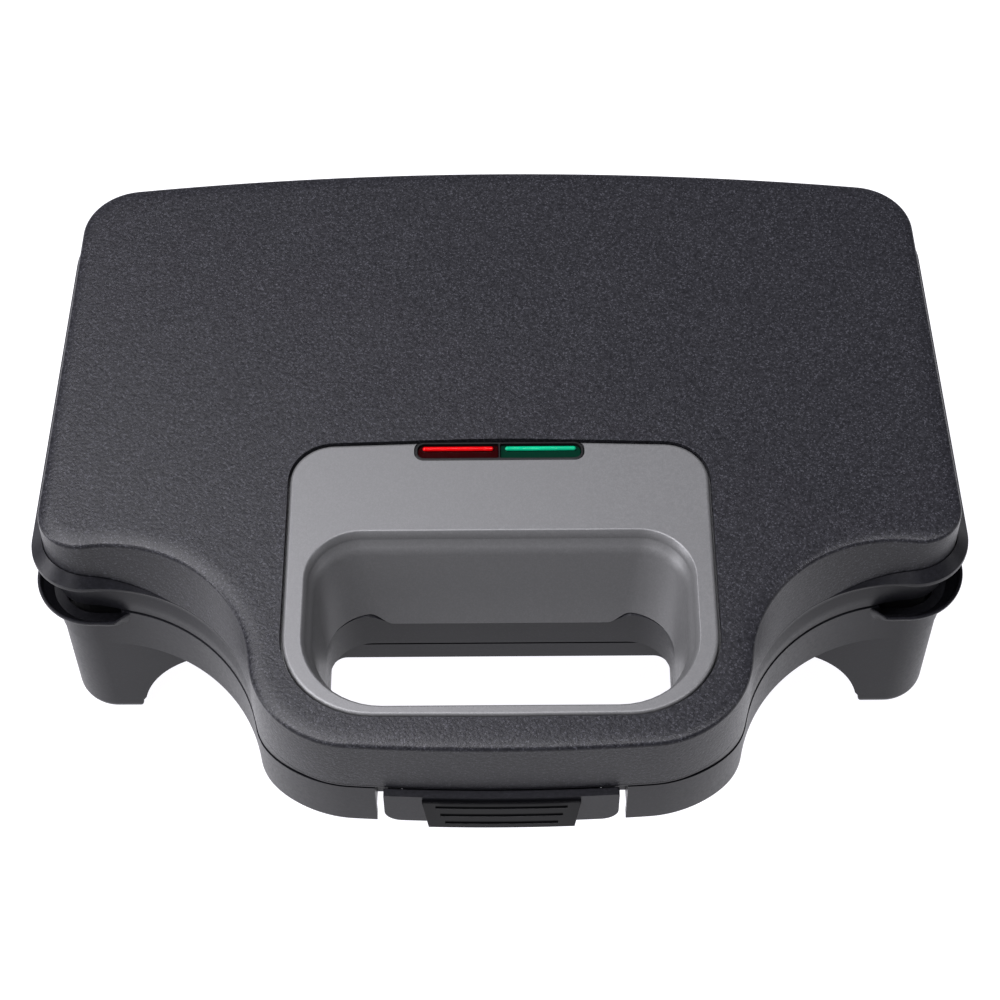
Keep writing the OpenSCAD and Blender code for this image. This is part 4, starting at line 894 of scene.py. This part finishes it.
tongue = drawn(tongue_plan(0.01), opening_back - 4, far, "Y")
cut(below_rim, tongue)
cut(chute, below_rim)
join(panel, chute)
cut(panel, throat_hollow, drawn(bezel_plan(0.1), skirt_z - 2, sky),
    block(-lens_l, lens_l, lens_y, insert_back + 1, insert_top - insert_t, sky))
finish_piece(panel, "insert_panel", "lid", grey_paint, ["handle_insert"], crease=38)
finish_piece(right_bar, "lens_green", "lid", green_lens, ["ready_lens"])
finish_piece(left_bar, "lens_red", "lid", red_lens, ["power_lens"])
rim_of_holder = skin([at_z(bezel_plan(0), top_z - 7.9), at_z(bezel_plan(0), top_z - 0.7),
                      at_z(bezel_plan(-0.15), top_z - 0.42), at_z(bezel_plan(-0.4), top_z - 0.3)])
cut(rim_of_holder, *mirrored(lambda: drawn(lens_plan(0.1), top_z - 2.8, top_z + 1)))
finish_piece(rim_of_holder, "lens_rim", "lid", black_nylon, ["lens_holder"])

# %% [markdown]
# ## The wall of the lid's inner frame
# Below the cover shows a second moulding. Its wall leans in below the cover, and at the corners and sides
# it swells into a sloping lip that climbs up the cover. The lip could be swept along the edge as a piece of
# its own, but the real one grows out of the wall without a seam. So the frame is one ring-shaped section
# whose sizes change with the distance from the middle.

# %% Frame wall
def outwards(station, a, b):
    """0 up to the distance a from the middle, 1 from the distance b on."""
    return ease((abs(station[0]) - a) / (b - a))


def frame_ring(stations, d0, d_corner, d_lip, z0, z_lift, z_lip):
    """A ring at distance d0 and height z0, with what the corners, the lip and the rising seam add to them."""
    points = []
    for s in stations:
        belly = outwards(s, half_w - 20.5, half_w - 10.5)
        lip = outwards(s, half_w - 36.5, half_w - 2.5)
        d = d0 + d_corner * belly + d_lip * lip
        points.append((s[0] + d * s[2], s[1] + d * s[3], z0 + z_lift * lift(s[1]) + z_lip * lip))
    return points


edge_z, half_w = skirt_z - 0.1, body_w / 2
frame_wall = skin([
    frame_ring(seam_outline, -wall - 0.8, -1, 0, frame_low - 0.1, 1, 0),
    frame_ring(seam_outline, -0.4, -1.0, 0, frame_low - 0.1, 1, 0),
    frame_ring(seam_outline, -0.25, -0.95, 0, frame_low + 0.1, 1, 0),
    frame_ring(seam_outline, -0.2, -0.62, 0, frame_low + 2.5, 0.75, 0),
    frame_ring(seam_outline, -0.14, -0.3, 0, frame_low + 5, 0.5, 0),
    frame_ring(skirt_outline, -0.1, -0.08, 0, edge_z - 2, 0.2, 0),
    frame_ring(skirt_outline, -0.04, 0, 0, edge_z - 0.6, 0, 0),
    frame_ring(skirt_outline, -0.04, 0, lip_w * 0.55, edge_z - 0.55, 0, lip_rise * 0.18),
    frame_ring(skirt_outline, -0.03, 0, lip_w * 1.04, edge_z - 0.4, 0, lip_rise * 0.46),
    frame_ring(skirt_outline, -0.02, 0, lip_w * 1.05, edge_z - 0.28, 0, lip_rise * 0.54),
    frame_ring(skirt_outline, -0.02, 0, lip_w * 1.02, edge_z - 0.15, 0, lip_rise * 0.63),
    frame_ring(skirt_outline, -0.03, 0.08, 0, edge_z, 0, lip_rise),
    frame_ring(skirt_outline, -0.06, 0.08, 0, edge_z - 0.05, 0, 0),
    frame_ring(skirt_outline, -wall - 0.3, 0, 0, edge_z - 0.05, 0, 0),
    frame_ring(outline, -wall - 0.4, 0, 0, edge_z + 4, 0, 0),
    frame_ring(outline, -wall - 2, 0, 0, edge_z + 4, 0, 0)], closed_section=True)
print("frame wall has", len(frame_wall.data.polygons), "faces")

# %% [markdown]
# ## Places of the plates, the hinge and the latch
# Lid and base meet at the plates, at the hinge and at the latch, so the heights and places of all three are
# settled before the pieces round them are made. They could be read off the finished meshes, but a place
# that is worked out from the seam, the plates and the walls stays right when one of those changes.

# %% Places of the plates, the hinge and the latch
plate_gap, plate_t, plate_corner_r, pocket_depth = 0.5, 2.5, 8, 8
lower_rim = parting_z - plate_gap / 2 - 0.15
deck_z = lower_rim + plate_gap + plate_t + 0.1
plate_y = corner_y + front_room + plate_d / 2
eye_in = (63, 77)
latch_w, latch_gap, latch_h, latch_pin_r = 56, 2, 12, 1.25
latch_y, latch_z, latch_top = front_y + 3.8, skirt_z - 4.5, skirt_z - 1.5
latch_low = latch_top - latch_h
barrel_w = latch_w - 9
screw_x, screw_bore_r = plate_w / 2 + 3.3, 1.7
lid_screws = [(x * u, y) for x in (-1, 1) for u, y in
              ((screw_x, corner_y + 24), (screw_x, back_y - 30), (34, back_y - 6.8))]
print("plates meet at", lower_rim, "deck at", deck_z, "latch from", latch_low, "to", latch_top)

# %% [markdown]
# ## What the frame carries
# The frame holds the lid together: a deck under the cover, a lining round the finger opening, two eyes for
# the hinge pins and two ears for the latch pin. They could stay separate pieces that touch, but the real
# moulding is one, so they are joined to the wall first, and the bores are drilled through all of them last.


# %% Deck, lining, hinge eyes and latch ears
def wall_y(x):
    """Where the bowed rear wall stands at x."""
    return back_y - x * x / (2 * back_bow_r) - 1.4


def plate_plan(grow):
    """Plan of a cooking plate."""
    corners = inset(box_plan(-plate_w / 2, plate_w / 2, plate_y - plate_d / 2, plate_y + plate_d / 2), -grow)
    return rounded(corners, [plate_corner_r + grow] * 4)


def eye_web():
    """The web between the frame and a hinge eye."""
    return drawn([
        (wall_y(70), frame_low + 1), (hinge_y - 5, frame_low + 1), (hinge_y - 1, hinge_z + 0.5),
        (hinge_y + 4, hinge_z + 2.5), (hinge_y + 2, skirt_z - 2), (wall_y(70), skirt_z - 1)], *eye_in, "X")


def latch_ear():
    """The ear that holds one end of the latch pin."""
    inside, ear_top = front_y + wall + 1.4, deck_z + handle_lift + 1
    return drawn([
        (front_y + 1.8, skirt_z - 0.4), (front_y + 1.8, latch_z - 2.6), (latch_y + 2.8, latch_z - 2.6),
        (latch_y + 2.8, ear_top), (inside, ear_top), (inside, skirt_z - 0.4)],
        barrel_w / 2 + 0.4, latch_w / 2 - 1, "X")


deck = common(drawn(plan(outline_at(seam_neck_r - 1), -wall - 0.7), 0, sky), lifted(deck_z, deck_z + 2))
lining = common(drawn(opening(lining_t), 0, sky), lifted(frame_low - sleeve_h, throat_rim - 0.3))
cut(lining, drawn(tongue_plan(0.3), opening_back - 4, opening_back + 9, "Y"))
inner = join(frame_wall, deck, lining, *mirrored(lambda: rod((hinge_y, hinge_z), eye_r, *eye_in)),
             *mirrored(eye_web), *mirrored(latch_ear))
cut(inner, drawn(opening(0), 0, sky), drawn(plate_plan(-3), 0, sky),
    *mirrored(lambda: rod((hinge_y, hinge_z), pin_r + pin_play, eye_in[0] - 3, eye_in[1] + 3)),
    rod((latch_y, latch_z), latch_pin_r, -latch_w / 2, latch_w / 2),
    *[rod(p, screw_bore_r, deck_z - 1, deck_z + 3, "Z", 32) for p in lid_screws])
finish_piece(inner, "inner_frame", "lid", satin, ["lid_frame"])

# %% [markdown]
# ## The latch
# The latch is a flat bow with a wing on each side of its thumb pad, a barrel for its pin and a hook below.
# It could be a flat plate, bent afterwards, but the bow of the handle is already there in the outline, so
# the latch is cut from that outline moved outwards. Small parts such as this one show their soft edges, so
# it gets a real bevel.

# %% Latch
latch_proud, pad_proud, pad_w, hook_reach = 1.8, 2.2, 38, 2.2
hook_top = latch_low + 1.9
wings = cut(drawn(plan(outline, latch_proud), latch_low, latch_top),
            drawn(plan(outline, -0.3), latch_low - 1, latch_top + 1))
front_view = rounded(box_plan(-latch_w / 2, latch_w / 2, latch_low, latch_top), [4, 4, 0.6, 0.6])
common(wings, drawn(front_view, front_y - 5, front_y + 12, "Y"))
join(wings, rod((latch_y, latch_z), 2.5, -barrel_w / 2, barrel_w / 2),
     block(-barrel_w / 2, barrel_w / 2, front_y - 0.3, latch_y, latch_z - 1.2, latch_z + 1.4),
     block(-pad_w / 2, pad_w / 2, front_y - 0.3, front_y + hook_reach - 0.3, latch_low, hook_top))
cut(wings, rod((latch_y, latch_z), latch_pin_r + pin_play, -far, far))
finish_piece(wings, "latch_wings", "latch", satin, ["latch_clip"], bevel=0.25)

# %% [markdown]
# ## The thumb pad
# The glossy pad stands out like a wedge that grows downwards, and has three grooves for the thumb. Its
# section is swept along the bow of the handle, and its ends are trimmed to a slight taper. The grooves
# could be a bump in the finish, but they are deep enough to cast a shadow, so each is a round bar swept
# along the same bow and cut out.

# %% Thumb pad
pad_low, pad_top = latch_low + 0.3, latch_top - 1.2
pad_toe, pad_brow, groove_r = (pad_proud, pad_low + 0.9), (0.95, pad_top - 0.25), 0.7
face = [(0.03, pad_top), (0.75, pad_top), pad_brow, pad_toe, (pad_proud - 0.45, pad_low),
        (0.03, pad_low + 0.2)]


def swept(section, half_w, steps=24):
    """A section (outward distance, z) moved along the bow of the handle's front."""
    rings = []
    for i in range(steps + 1):
        x = half_w * (2 * i / steps - 1)
        a, r = math.asin(x / front_bow_r), front_bow_r + latch_proud
        rings.append([(math.sin(a) * (r + d), front_c.y - math.cos(a) * (r + d), z) for d, z in section])
    return skin(rings)


def groove(i):
    """The bar that cuts groove i, counted from the top; each is a little shorter than the one above."""
    t = 0.14 + 0.32 * i
    d, z = [brow + t * (toe - brow) for brow, toe in zip(pad_brow, pad_toe)]
    bar = [(d + groove_r / 3 + u, z + v) for u, v in disc((0, 0), groove_r, 24)]
    return swept(bar, pad_w / 2 - 3.4 - 1.1 * i)


pad = swept(face, pad_w / 2 + 1)
common(pad, drawn([(-pad_w / 2 + 1.8, pad_low - 1), (pad_w / 2 - 1.8, pad_low - 1), (pad_w / 2, pad_top + 1),
                   (-pad_w / 2, pad_top + 1)], front_y - 9, front_y + 9, "Y"))
cut(pad, *[groove(i) for i in range(3)])
finish_piece(pad, "thumb_pad", "latch", gloss_black, ["latch_thumb_pad"], bevel=0.2)

# %% [markdown]
# ## The base
# The base is a tub on four legs. Between the legs its walls rise in wide arches, the feet are rounded
# underneath, and inside they are hollow. The legs could be added one by one, but then their faces would
# hardly line up with the walls. So the whole body is skinned down to the table, and the arches are cut
# through it from side to side and from front to back.

# %% Tub on four legs
leg_in, leg_deep, arch_run, foot_edge_r, pad_out = 18.6, 24, 26.5, 4, 0.8
face_z, toe_r = 42, 5.5


def face_ring(d, z, share):
    """The body's wall, with the face of the legs set back a little below a fine step."""
    points = []
    for s in body_outline:
        step = 0.3 * outwards(s, 82, 86) * share
        points.append((s[0] + (d - step) * s[2], s[1] + (d - step) * s[3], z))
    return points


foot = [face_ring(-foot_edge_r * (1 - math.sin(a)), pad_out + foot_edge_r * (1 - math.cos(a)), 1)
        for a in [math.radians(9 * i) for i in range(11)]]
tub = skin(foot + [face_ring(0, face_z - 0.25, 1), face_ring(0, face_z, 0), face_ring(0, base_top, 0)])


def arch(axis, foot_at_low, foot_at_high):
    """The arch between two feet, an ellipse over rounded toes, drawn out right across the body."""
    turn = [math.radians(3 * i) for i in range(31)]
    toe = [(toe_r * (1 - math.sin(a)), pad_out + toe_r * (1 - math.cos(a))) for a in turn[::3]]
    side = [(arch_run * (math.cos(a) - 1), leg_h * math.sin(a)) for a in turn]
    side = [(u, z) for u, z in side if z > pad_out + toe_r]
    edge = [(toe_r, -1)] + toe + side
    low = [(foot_at_low - u, z) for u, z in edge]
    high = [(foot_at_high + u, z) for u, z in edge]
    return drawn(low + high[::-1], -far, far, axis)


x_foot = body_w / 2 - leg_in
cut(tub, arch("Y", -x_foot, x_foot), arch("X", corner_y + leg_deep, back_y - leg_deep - 4),
    drawn(plan(body_outline, -wall), floor_z, 120),
    drawn(plan(seam_outline, -wall - 0.2), base_top - 2.6, 120))
cut(tub, drawn(plan(body_outline, -wall), pad_out + foot_edge_r, leg_h))
print("tub has", len(tub.data.polygons), "faces")

# %% [markdown]
# ## The band round the handle
# In front, the tub goes on as a band that follows the handle's outline and rises with the seam. A floor
# closes it below, and a lining stands round the finger opening. The band could be swept along the outline,
# but a sweep would have to be trimmed at the tub. So the whole outline is drawn up as a wall, and only what
# lies in a slab that follows the seam is kept.

# %% Band, floor and lining of the handle
handle_floor = parting_z - 12
band = common(cut(drawn(plan(seam_outline, 0), 0, sky), drawn(plan(seam_outline, -wall), -1, sky + 1)),
              lifted(band_z, base_top))
handle_plate = common(drawn(plan(seam_outline, -0.5), 0, sky), lifted(handle_floor, handle_floor + 2),
                      block(-far, far, -far, corner_y + 1, 0, sky))
lining = common(drawn(opening(lining_t, low_opening_r), 0, sky), lifted(handle_floor, base_top - sleeve_h))
join(tub, band, handle_plate, lining)
print("with its handle", len(tub.data.polygons), "faces")


# %% [markdown]
# ## The flared rim
# At the corners and sides the rim flares out into a shallow trough below the lip of the lid. A strip could
# be laid round the edge, but it would have visible ends. As in the lid's frame, one closed section runs
# round the whole outline and only grows where it is far from the middle. The trough is a second such solid,
# cut out.

# %% Flared rim
flare_x = body_w / 2 - 24


def flare_ring(d, w, z):
    """A ring at distance d with the share w of the flare, at height z over the rim."""
    points = []
    for s in seam_outline:
        out = d + w * flare_w * outwards(s, flare_x + 2.5, flare_x + 7.5)
        points.append((s[0] + out * s[2], s[1] + out * s[3], rim_z + z))
    return points


# each step: distance from the outline, share of the flare, height over the rim
flare_steps = [(-1.6, 0.0, -6.5), (-0.95, 0.1, -6.1), (-0.7, 0.24, -5.4), (-0.6, 0.5, -4.2),
               (-0.5, 0.78, -2.6), (-0.38, 0.96, -1.5), (-0.3, 1.05, -0.75), (-0.3, 1.06, -0.35),
               (-0.34, 1.06, -0.12), (-0.45, 1.06, -0.03), (-0.7, 1.05, -0.01), (-0.9, 1.03, -0.1),
               (-1.25, 0.97, -1.6), (-2.1, 0.6, -3.6)]
join(tub, skin([flare_ring(*step) for step in flare_steps], closed_section=True))
bowl = skin([flare_ring(-3.4, 0.15, -4.6), flare_ring(-2.2, 0.6, -4.5), flare_ring(-1.3, 0.98, -1.5),
             flare_ring(-0.9, 1.03, -0.1), flare_ring(-0.9, 1.03, 1)])
common(bowl, join(*mirrored(lambda: block(flare_x + 5.5, far, -far, far, 0, sky))))
cut(tub, bowl)
print("with its rim", len(tub.data.polygons), "faces")

# %% [markdown]
# ## Hinge ears, screw bosses and the wall behind the latch
# Behind the body stand the ears for the hinge pins, and on the floor stand the bosses for the screws, each
# with a collar where the socket of its screw head goes through the floor. A wall closes the handle behind
# the latch. These could be pieces of their own, but the real base is one moulding, so all are joined to the
# tub.

# %% Hinge ears, screw bosses and the wall behind the latch
ear_xs = ((eye_in[0] - 4.5, eye_in[0] - 0.3), (eye_in[1] + 0.3, eye_in[1] + 4.5))
notch_x, notch_d = latch_w / 2 + latch_gap, 7.2
base_screws = [(x * u, y) for x in (-1, 1) for u, y in
               ((screw_x + 1.8, corner_y + 36), (screw_x + 1.8, back_y - 38), (60, back_y - 6.5))]
base_low, ear_low = parting_z - 10.9, parting_z - 11.5
socket_r, socket_top = 3.3, leg_h + 3


def ear(e):
    """The ear between two distances e from the middle."""
    w = wall_y((e[0] + e[1]) / 2)
    return lambda: drawn([
        (w, ear_low), (hinge_y, hinge_z - 5), (hinge_y + 1, hinge_z), (hinge_y - 4, hinge_z),
        (hinge_y - 5.5, base_top - 0.5), (w, base_top - 0.5)], *e, "X")


for e in ear_xs:
    join(tub, *mirrored(ear(e)), *mirrored(lambda: rod((hinge_y, hinge_z), eye_r, *e)))
notch_wall = common(
    block(-notch_x - wall, notch_x + wall, front_y + 1.6, front_y + notch_d + wall, 0, sky),
    lifted(handle_floor, base_top - 2.8))
collars = [rod(p, socket_r + 1.2, leg_h + 0.5, socket_top + 1.6, "Z") for p in base_screws]
bosses = [rod(p, 3, leg_h + 0.5, base_low, "Z") for p in base_screws]
join(tub, notch_wall, *bosses, *[common(drawn(plan(body_outline, -wall / 2), 0, sky), c) for c in collars])
print("with ears and bosses", len(tub.data.polygons), "faces")

# %% [markdown]
# ## The last cuts
# A notch in the front of the handle lets the latch in, and leaves the ledge that its hook catches. Then
# come the finger opening, the bores for pins and screws, the seats of the foot pads and the hole for the
# gland. Each hole could be cut as soon as its boss is made, but the next boss that runs through it would
# fill it again. So all that is solid is joined first and all holes come last.

# %% The last cuts
foot_x, foot_ys, foot_seat_r, foot_seat_h = body_w / 2 - 11.5, (corner_y + 10, back_y - 18), 6.1, 1.6
gland_r, gland_up = 3.5, 4.3
notch = block(-notch_x, notch_x, front_y - 6, front_y + notch_d, 0, sky)
catch_x, catch_low, catch_top = pad_w / 2 + 1.5, latch_low + 2.3, latch_low + 4.4
cut(notch, block(-catch_x, catch_x, front_y + hook_reach, 100, catch_low, catch_top))


def rim_cut():
    """Takes the top of the rim down where it flares, with a slant where the cut begins."""
    x0 = flare_x + 3
    return drawn([(x0, sky), (x0, base_top + 1), (x0 + 2.5, rim_z), (far, rim_z), (far, sky)], -far, far, "Y")


cut(tub, drawn(opening(0, low_opening_r), 0, sky), notch, *mirrored(rim_cut),
    *mirrored(lambda: rod((hinge_y, hinge_z), pin_r, ear_xs[0][0] - 1, ear_xs[1][1] + 1)),
    *[rod((x * foot_x, y), foot_seat_r, 0, pad_out + foot_seat_h, "Z", 64) for x in (-1, 1) for y in foot_ys],
    *[rod(p, socket_r, 0, socket_top, "Z") for p in base_screws],
    *[rod(p, screw_bore_r, 0, sky, "Z", 32) for p in base_screws],
    rod((0, floor_z + gland_up), gland_r, back_y - 12, back_y + 12, "Y"))
finish_piece(tub, "base_tub", "base", satin, ["base_housing"])

# %% [markdown]
# ## Pockets of the cooking plates
# Each plate has four triangular pockets that press the edges of the bread together. Their walls are steep
# with generous radii so that the toast lets go, and a narrow ridge between two of them cuts the sandwich.
# Sculpting could shape one pocket, but eight equal ones need exact sides, so each is a triangle that is
# moved inwards step by step as it gets deeper.

# %% Pockets
end_land, side_land, mid_land, ridge_w = 5, 6, 6, 4
pocket_w, pocket_d = (plate_w - mid_land) / 2 - end_land, plate_d - 2 * side_land
pocket_x = (mid_land + pocket_w) / 2
plate_depth = pocket_depth + plate_t


def shifted(tri, d):
    """A triangle with its third side, from corner 2 to corner 0, moved inwards by d."""
    a, b, c = (Vector(tri[2]), Vector(tri[0]), Vector(tri[1]))
    u = (b - a).normalized()
    n = Vector((-u.y, u.x))
    ka, kb = d / n.dot((c - a).normalized()), d / n.dot((c - b).normalized())
    return [tuple(b + kb * (c - b).normalized()), tri[1], tuple(a + ka * (c - a).normalized())]


pockets = []
for side in (-1, 1):
    w, d, cx = pocket_w / 2, pocket_d / 2, side * pocket_x
    q = [(cx - w, plate_y - d), (cx + w, plate_y - d), (cx + w, plate_y + d), (cx - w, plate_y + d)]
    q = q[1:] + q[:1] if side > 0 else q
    pockets += [shifted(half, ridge_w / 2) for half in (q[:3], q[2:] + q[:1])]


def pocket_ring(tri, d, r, z):
    """A pocket's triangle, moved inwards by d and rounded, at height z."""
    return at_z(rounded(inset(tri, d), [r] * 3, 10), z)


# each step: inset of the sides, corner radius, height
hollow_steps = [(8.6, 3.4, -8), (8.0, 4, -7.96), (6.6, 5, -7.6), (5.3, 5.6, -6.95), (4.5, 6, -6.3),
                (2.7, 6.6, -3.4), (1.4, 7, -1.25), (0.9, 7.2, -0.6), (0.35, 7.6, -0.15), (-0.4, 8.2, 0.0),
                (-0.8, 8.4, 0.4)]
print("pockets:", len(pockets), "steps per wall:", len(hollow_steps))


# %% [markdown]
# ## The two plates
# Upper and lower plate are the same casting, and the upper one lies face down. A slab with softened edges
# gets a bulge under each pocket, which keeps the wall even, and then the pockets are cut. A mirror modifier
# could make the second plate, but each plate rides on its own body, so the function is simply called twice.

# %% Plates
def cooking_plate():
    """A plate with its cooking face up at z = 0."""
    edge = [(-0.5, -plate_t), (0, -plate_t + 0.5), (0, -0.6), (-0.2, -0.2), (-0.7, 0)]
    plate = skin([at_z(plate_plan(d), z) for d, z in edge])
    bulge_steps = [(5.5, 6, -plate_depth), (3.2, 7.4, -plate_depth + 0.8), (2, 8, -plate_depth + 2.5),
                   (-1.2, 9, -plate_t / 2)]
    for work, steps in ((join, bulge_steps), (cut, hollow_steps)):
        for tri in pockets:
            work(plate, skin([pocket_ring(tri, *step) for step in steps]))
    return plate


lower = cooking_plate()
lower.data.transform(Matrix.Translation((0, 0, lower_rim)))
finish_piece(lower, "plate_below", "base", non_stick, ["lower_plate"], crease=50)
upper = cooking_plate()
upper.data.transform(Matrix.Translation((0, 0, lower_rim + plate_gap)) @ Matrix.Scale(-1, 4, (0, 0, 1)))
upper.data.flip_normals()
finish_piece(upper, "plate_above", "lid", non_stick, ["upper_plate"], crease=50)

# %% [markdown]
# ## The floor
# The toaster stands on a light table of opal acrylic, lit from below so evenly that it prints white and
# takes no shadow. It also lights the shells from below. A white backdrop under strong lamps could be as
# bright, but it would show shadows, so the floor itself glows.

# %% Floor
floor_mesh = bpy.data.meshes.new("floor")
floor_mesh.from_pydata(at_z(box_plan(-3, 3, -3, 3), 0), [], [(0, 1, 2, 3)])
floor = bpy.data.objects.new("floor", floor_mesh)
scene.collection.objects.link(floor)
opal, opal_tree, opal_shader, opal_place = start("opal_acrylic_light_table")
clouds = add(opal_tree, "ShaderNodeTexNoise", {"Scale": lumps(2.0), "Detail": 2.0}, {"Vector": opal_place})
milky = add(opal_tree, "ShaderNodeMix",
            {"data_type": "RGBA", 6: linear("#6e6e6e"), 7: linear("#747474")}, {0: clouds})
set_up(opal_shader, {"Roughness": 0.9, "Emission Color": linear("#faf9ff"), "Emission Strength": 1.04},
       {"Base Color": milky.outputs[2]})
floor_mesh.materials.append(opal)
floor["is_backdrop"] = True
print("floor", floor.dimensions[:])


# %% [markdown]
# ## The lights
# All lamps are softboxes, because small lamps would leave hard spots on the plastic. A broad one, high on
# the left, gives the lid its slow change from pale at the front left to dark at the back right. A narrow
# strip overhead draws a fine line along the lid's edge, two more boxes on the left light the lip and the
# legs, and a weak card on the right keeps the far side from going black.

# %% Lights
def softbox(name, place, aim, width, painted_stripe_unevenness, watts):
    """A rectangular lamp at a place, turned towards its aim."""
    data = bpy.data.lights.new(name, "AREA")
    data.shape, data.size, data.size_y, data.energy = "RECTANGLE", width, painted_stripe_unevenness, watts
    data.color = linear("#fbfaff")[:3]
    lamp = bpy.data.objects.new(name, data)
    scene.collection.objects.link(lamp)
    lamp.location = place
    lamp.rotation_euler = (Vector(aim) - Vector(place)).to_track_quat("-Z", "Y").to_euler()


softbox("overhead", (-0.5, 0.22, 1.3), (0, 0, 0.05), 1.1, 0.7, 24)
softbox("edge_strip", (0.0, -0.15, 1.25), (0, -0.05, 0.05), 2.0, 0.12, 18)
softbox("left_strip", (-1.5, -0.3, 0.8), (0, 0, 0.05), 0.5, 1.4, 26)
softbox("front_left", (-0.65, -1.05, 1.05), (0, 0, 0.05), 0.5, 0.4, 4)
softbox("right_card", (1.5, -0.3, 0.7), (0, 0, 0.05), 0.4, 1.0, 3)
world = bpy.data.worlds.new("studio")
world.use_nodes = True
set_up(world.node_tree.nodes["Background"], {"Color": linear("#f4f6fa"), "Strength": 0.08})
scene.world = world
scene.view_settings.view_transform = "Standard"

# %% [markdown]
# ## Last look at the size
# The dressed model may not be larger than the engineering model. One could compare them by eye in the
# viewport, but a tenth of a millimetre doesn't show there, so both boxes are measured and written down.

# %% Compare the boxes
visual_box = [list(corner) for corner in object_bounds()]
for corner, seen, planned in zip(("low", "high"), visual_box, cad_box):
    print(corner, "corner differs in mm:", [round((v - c) / MM, 2) for v, c in zip(seen, planned)])
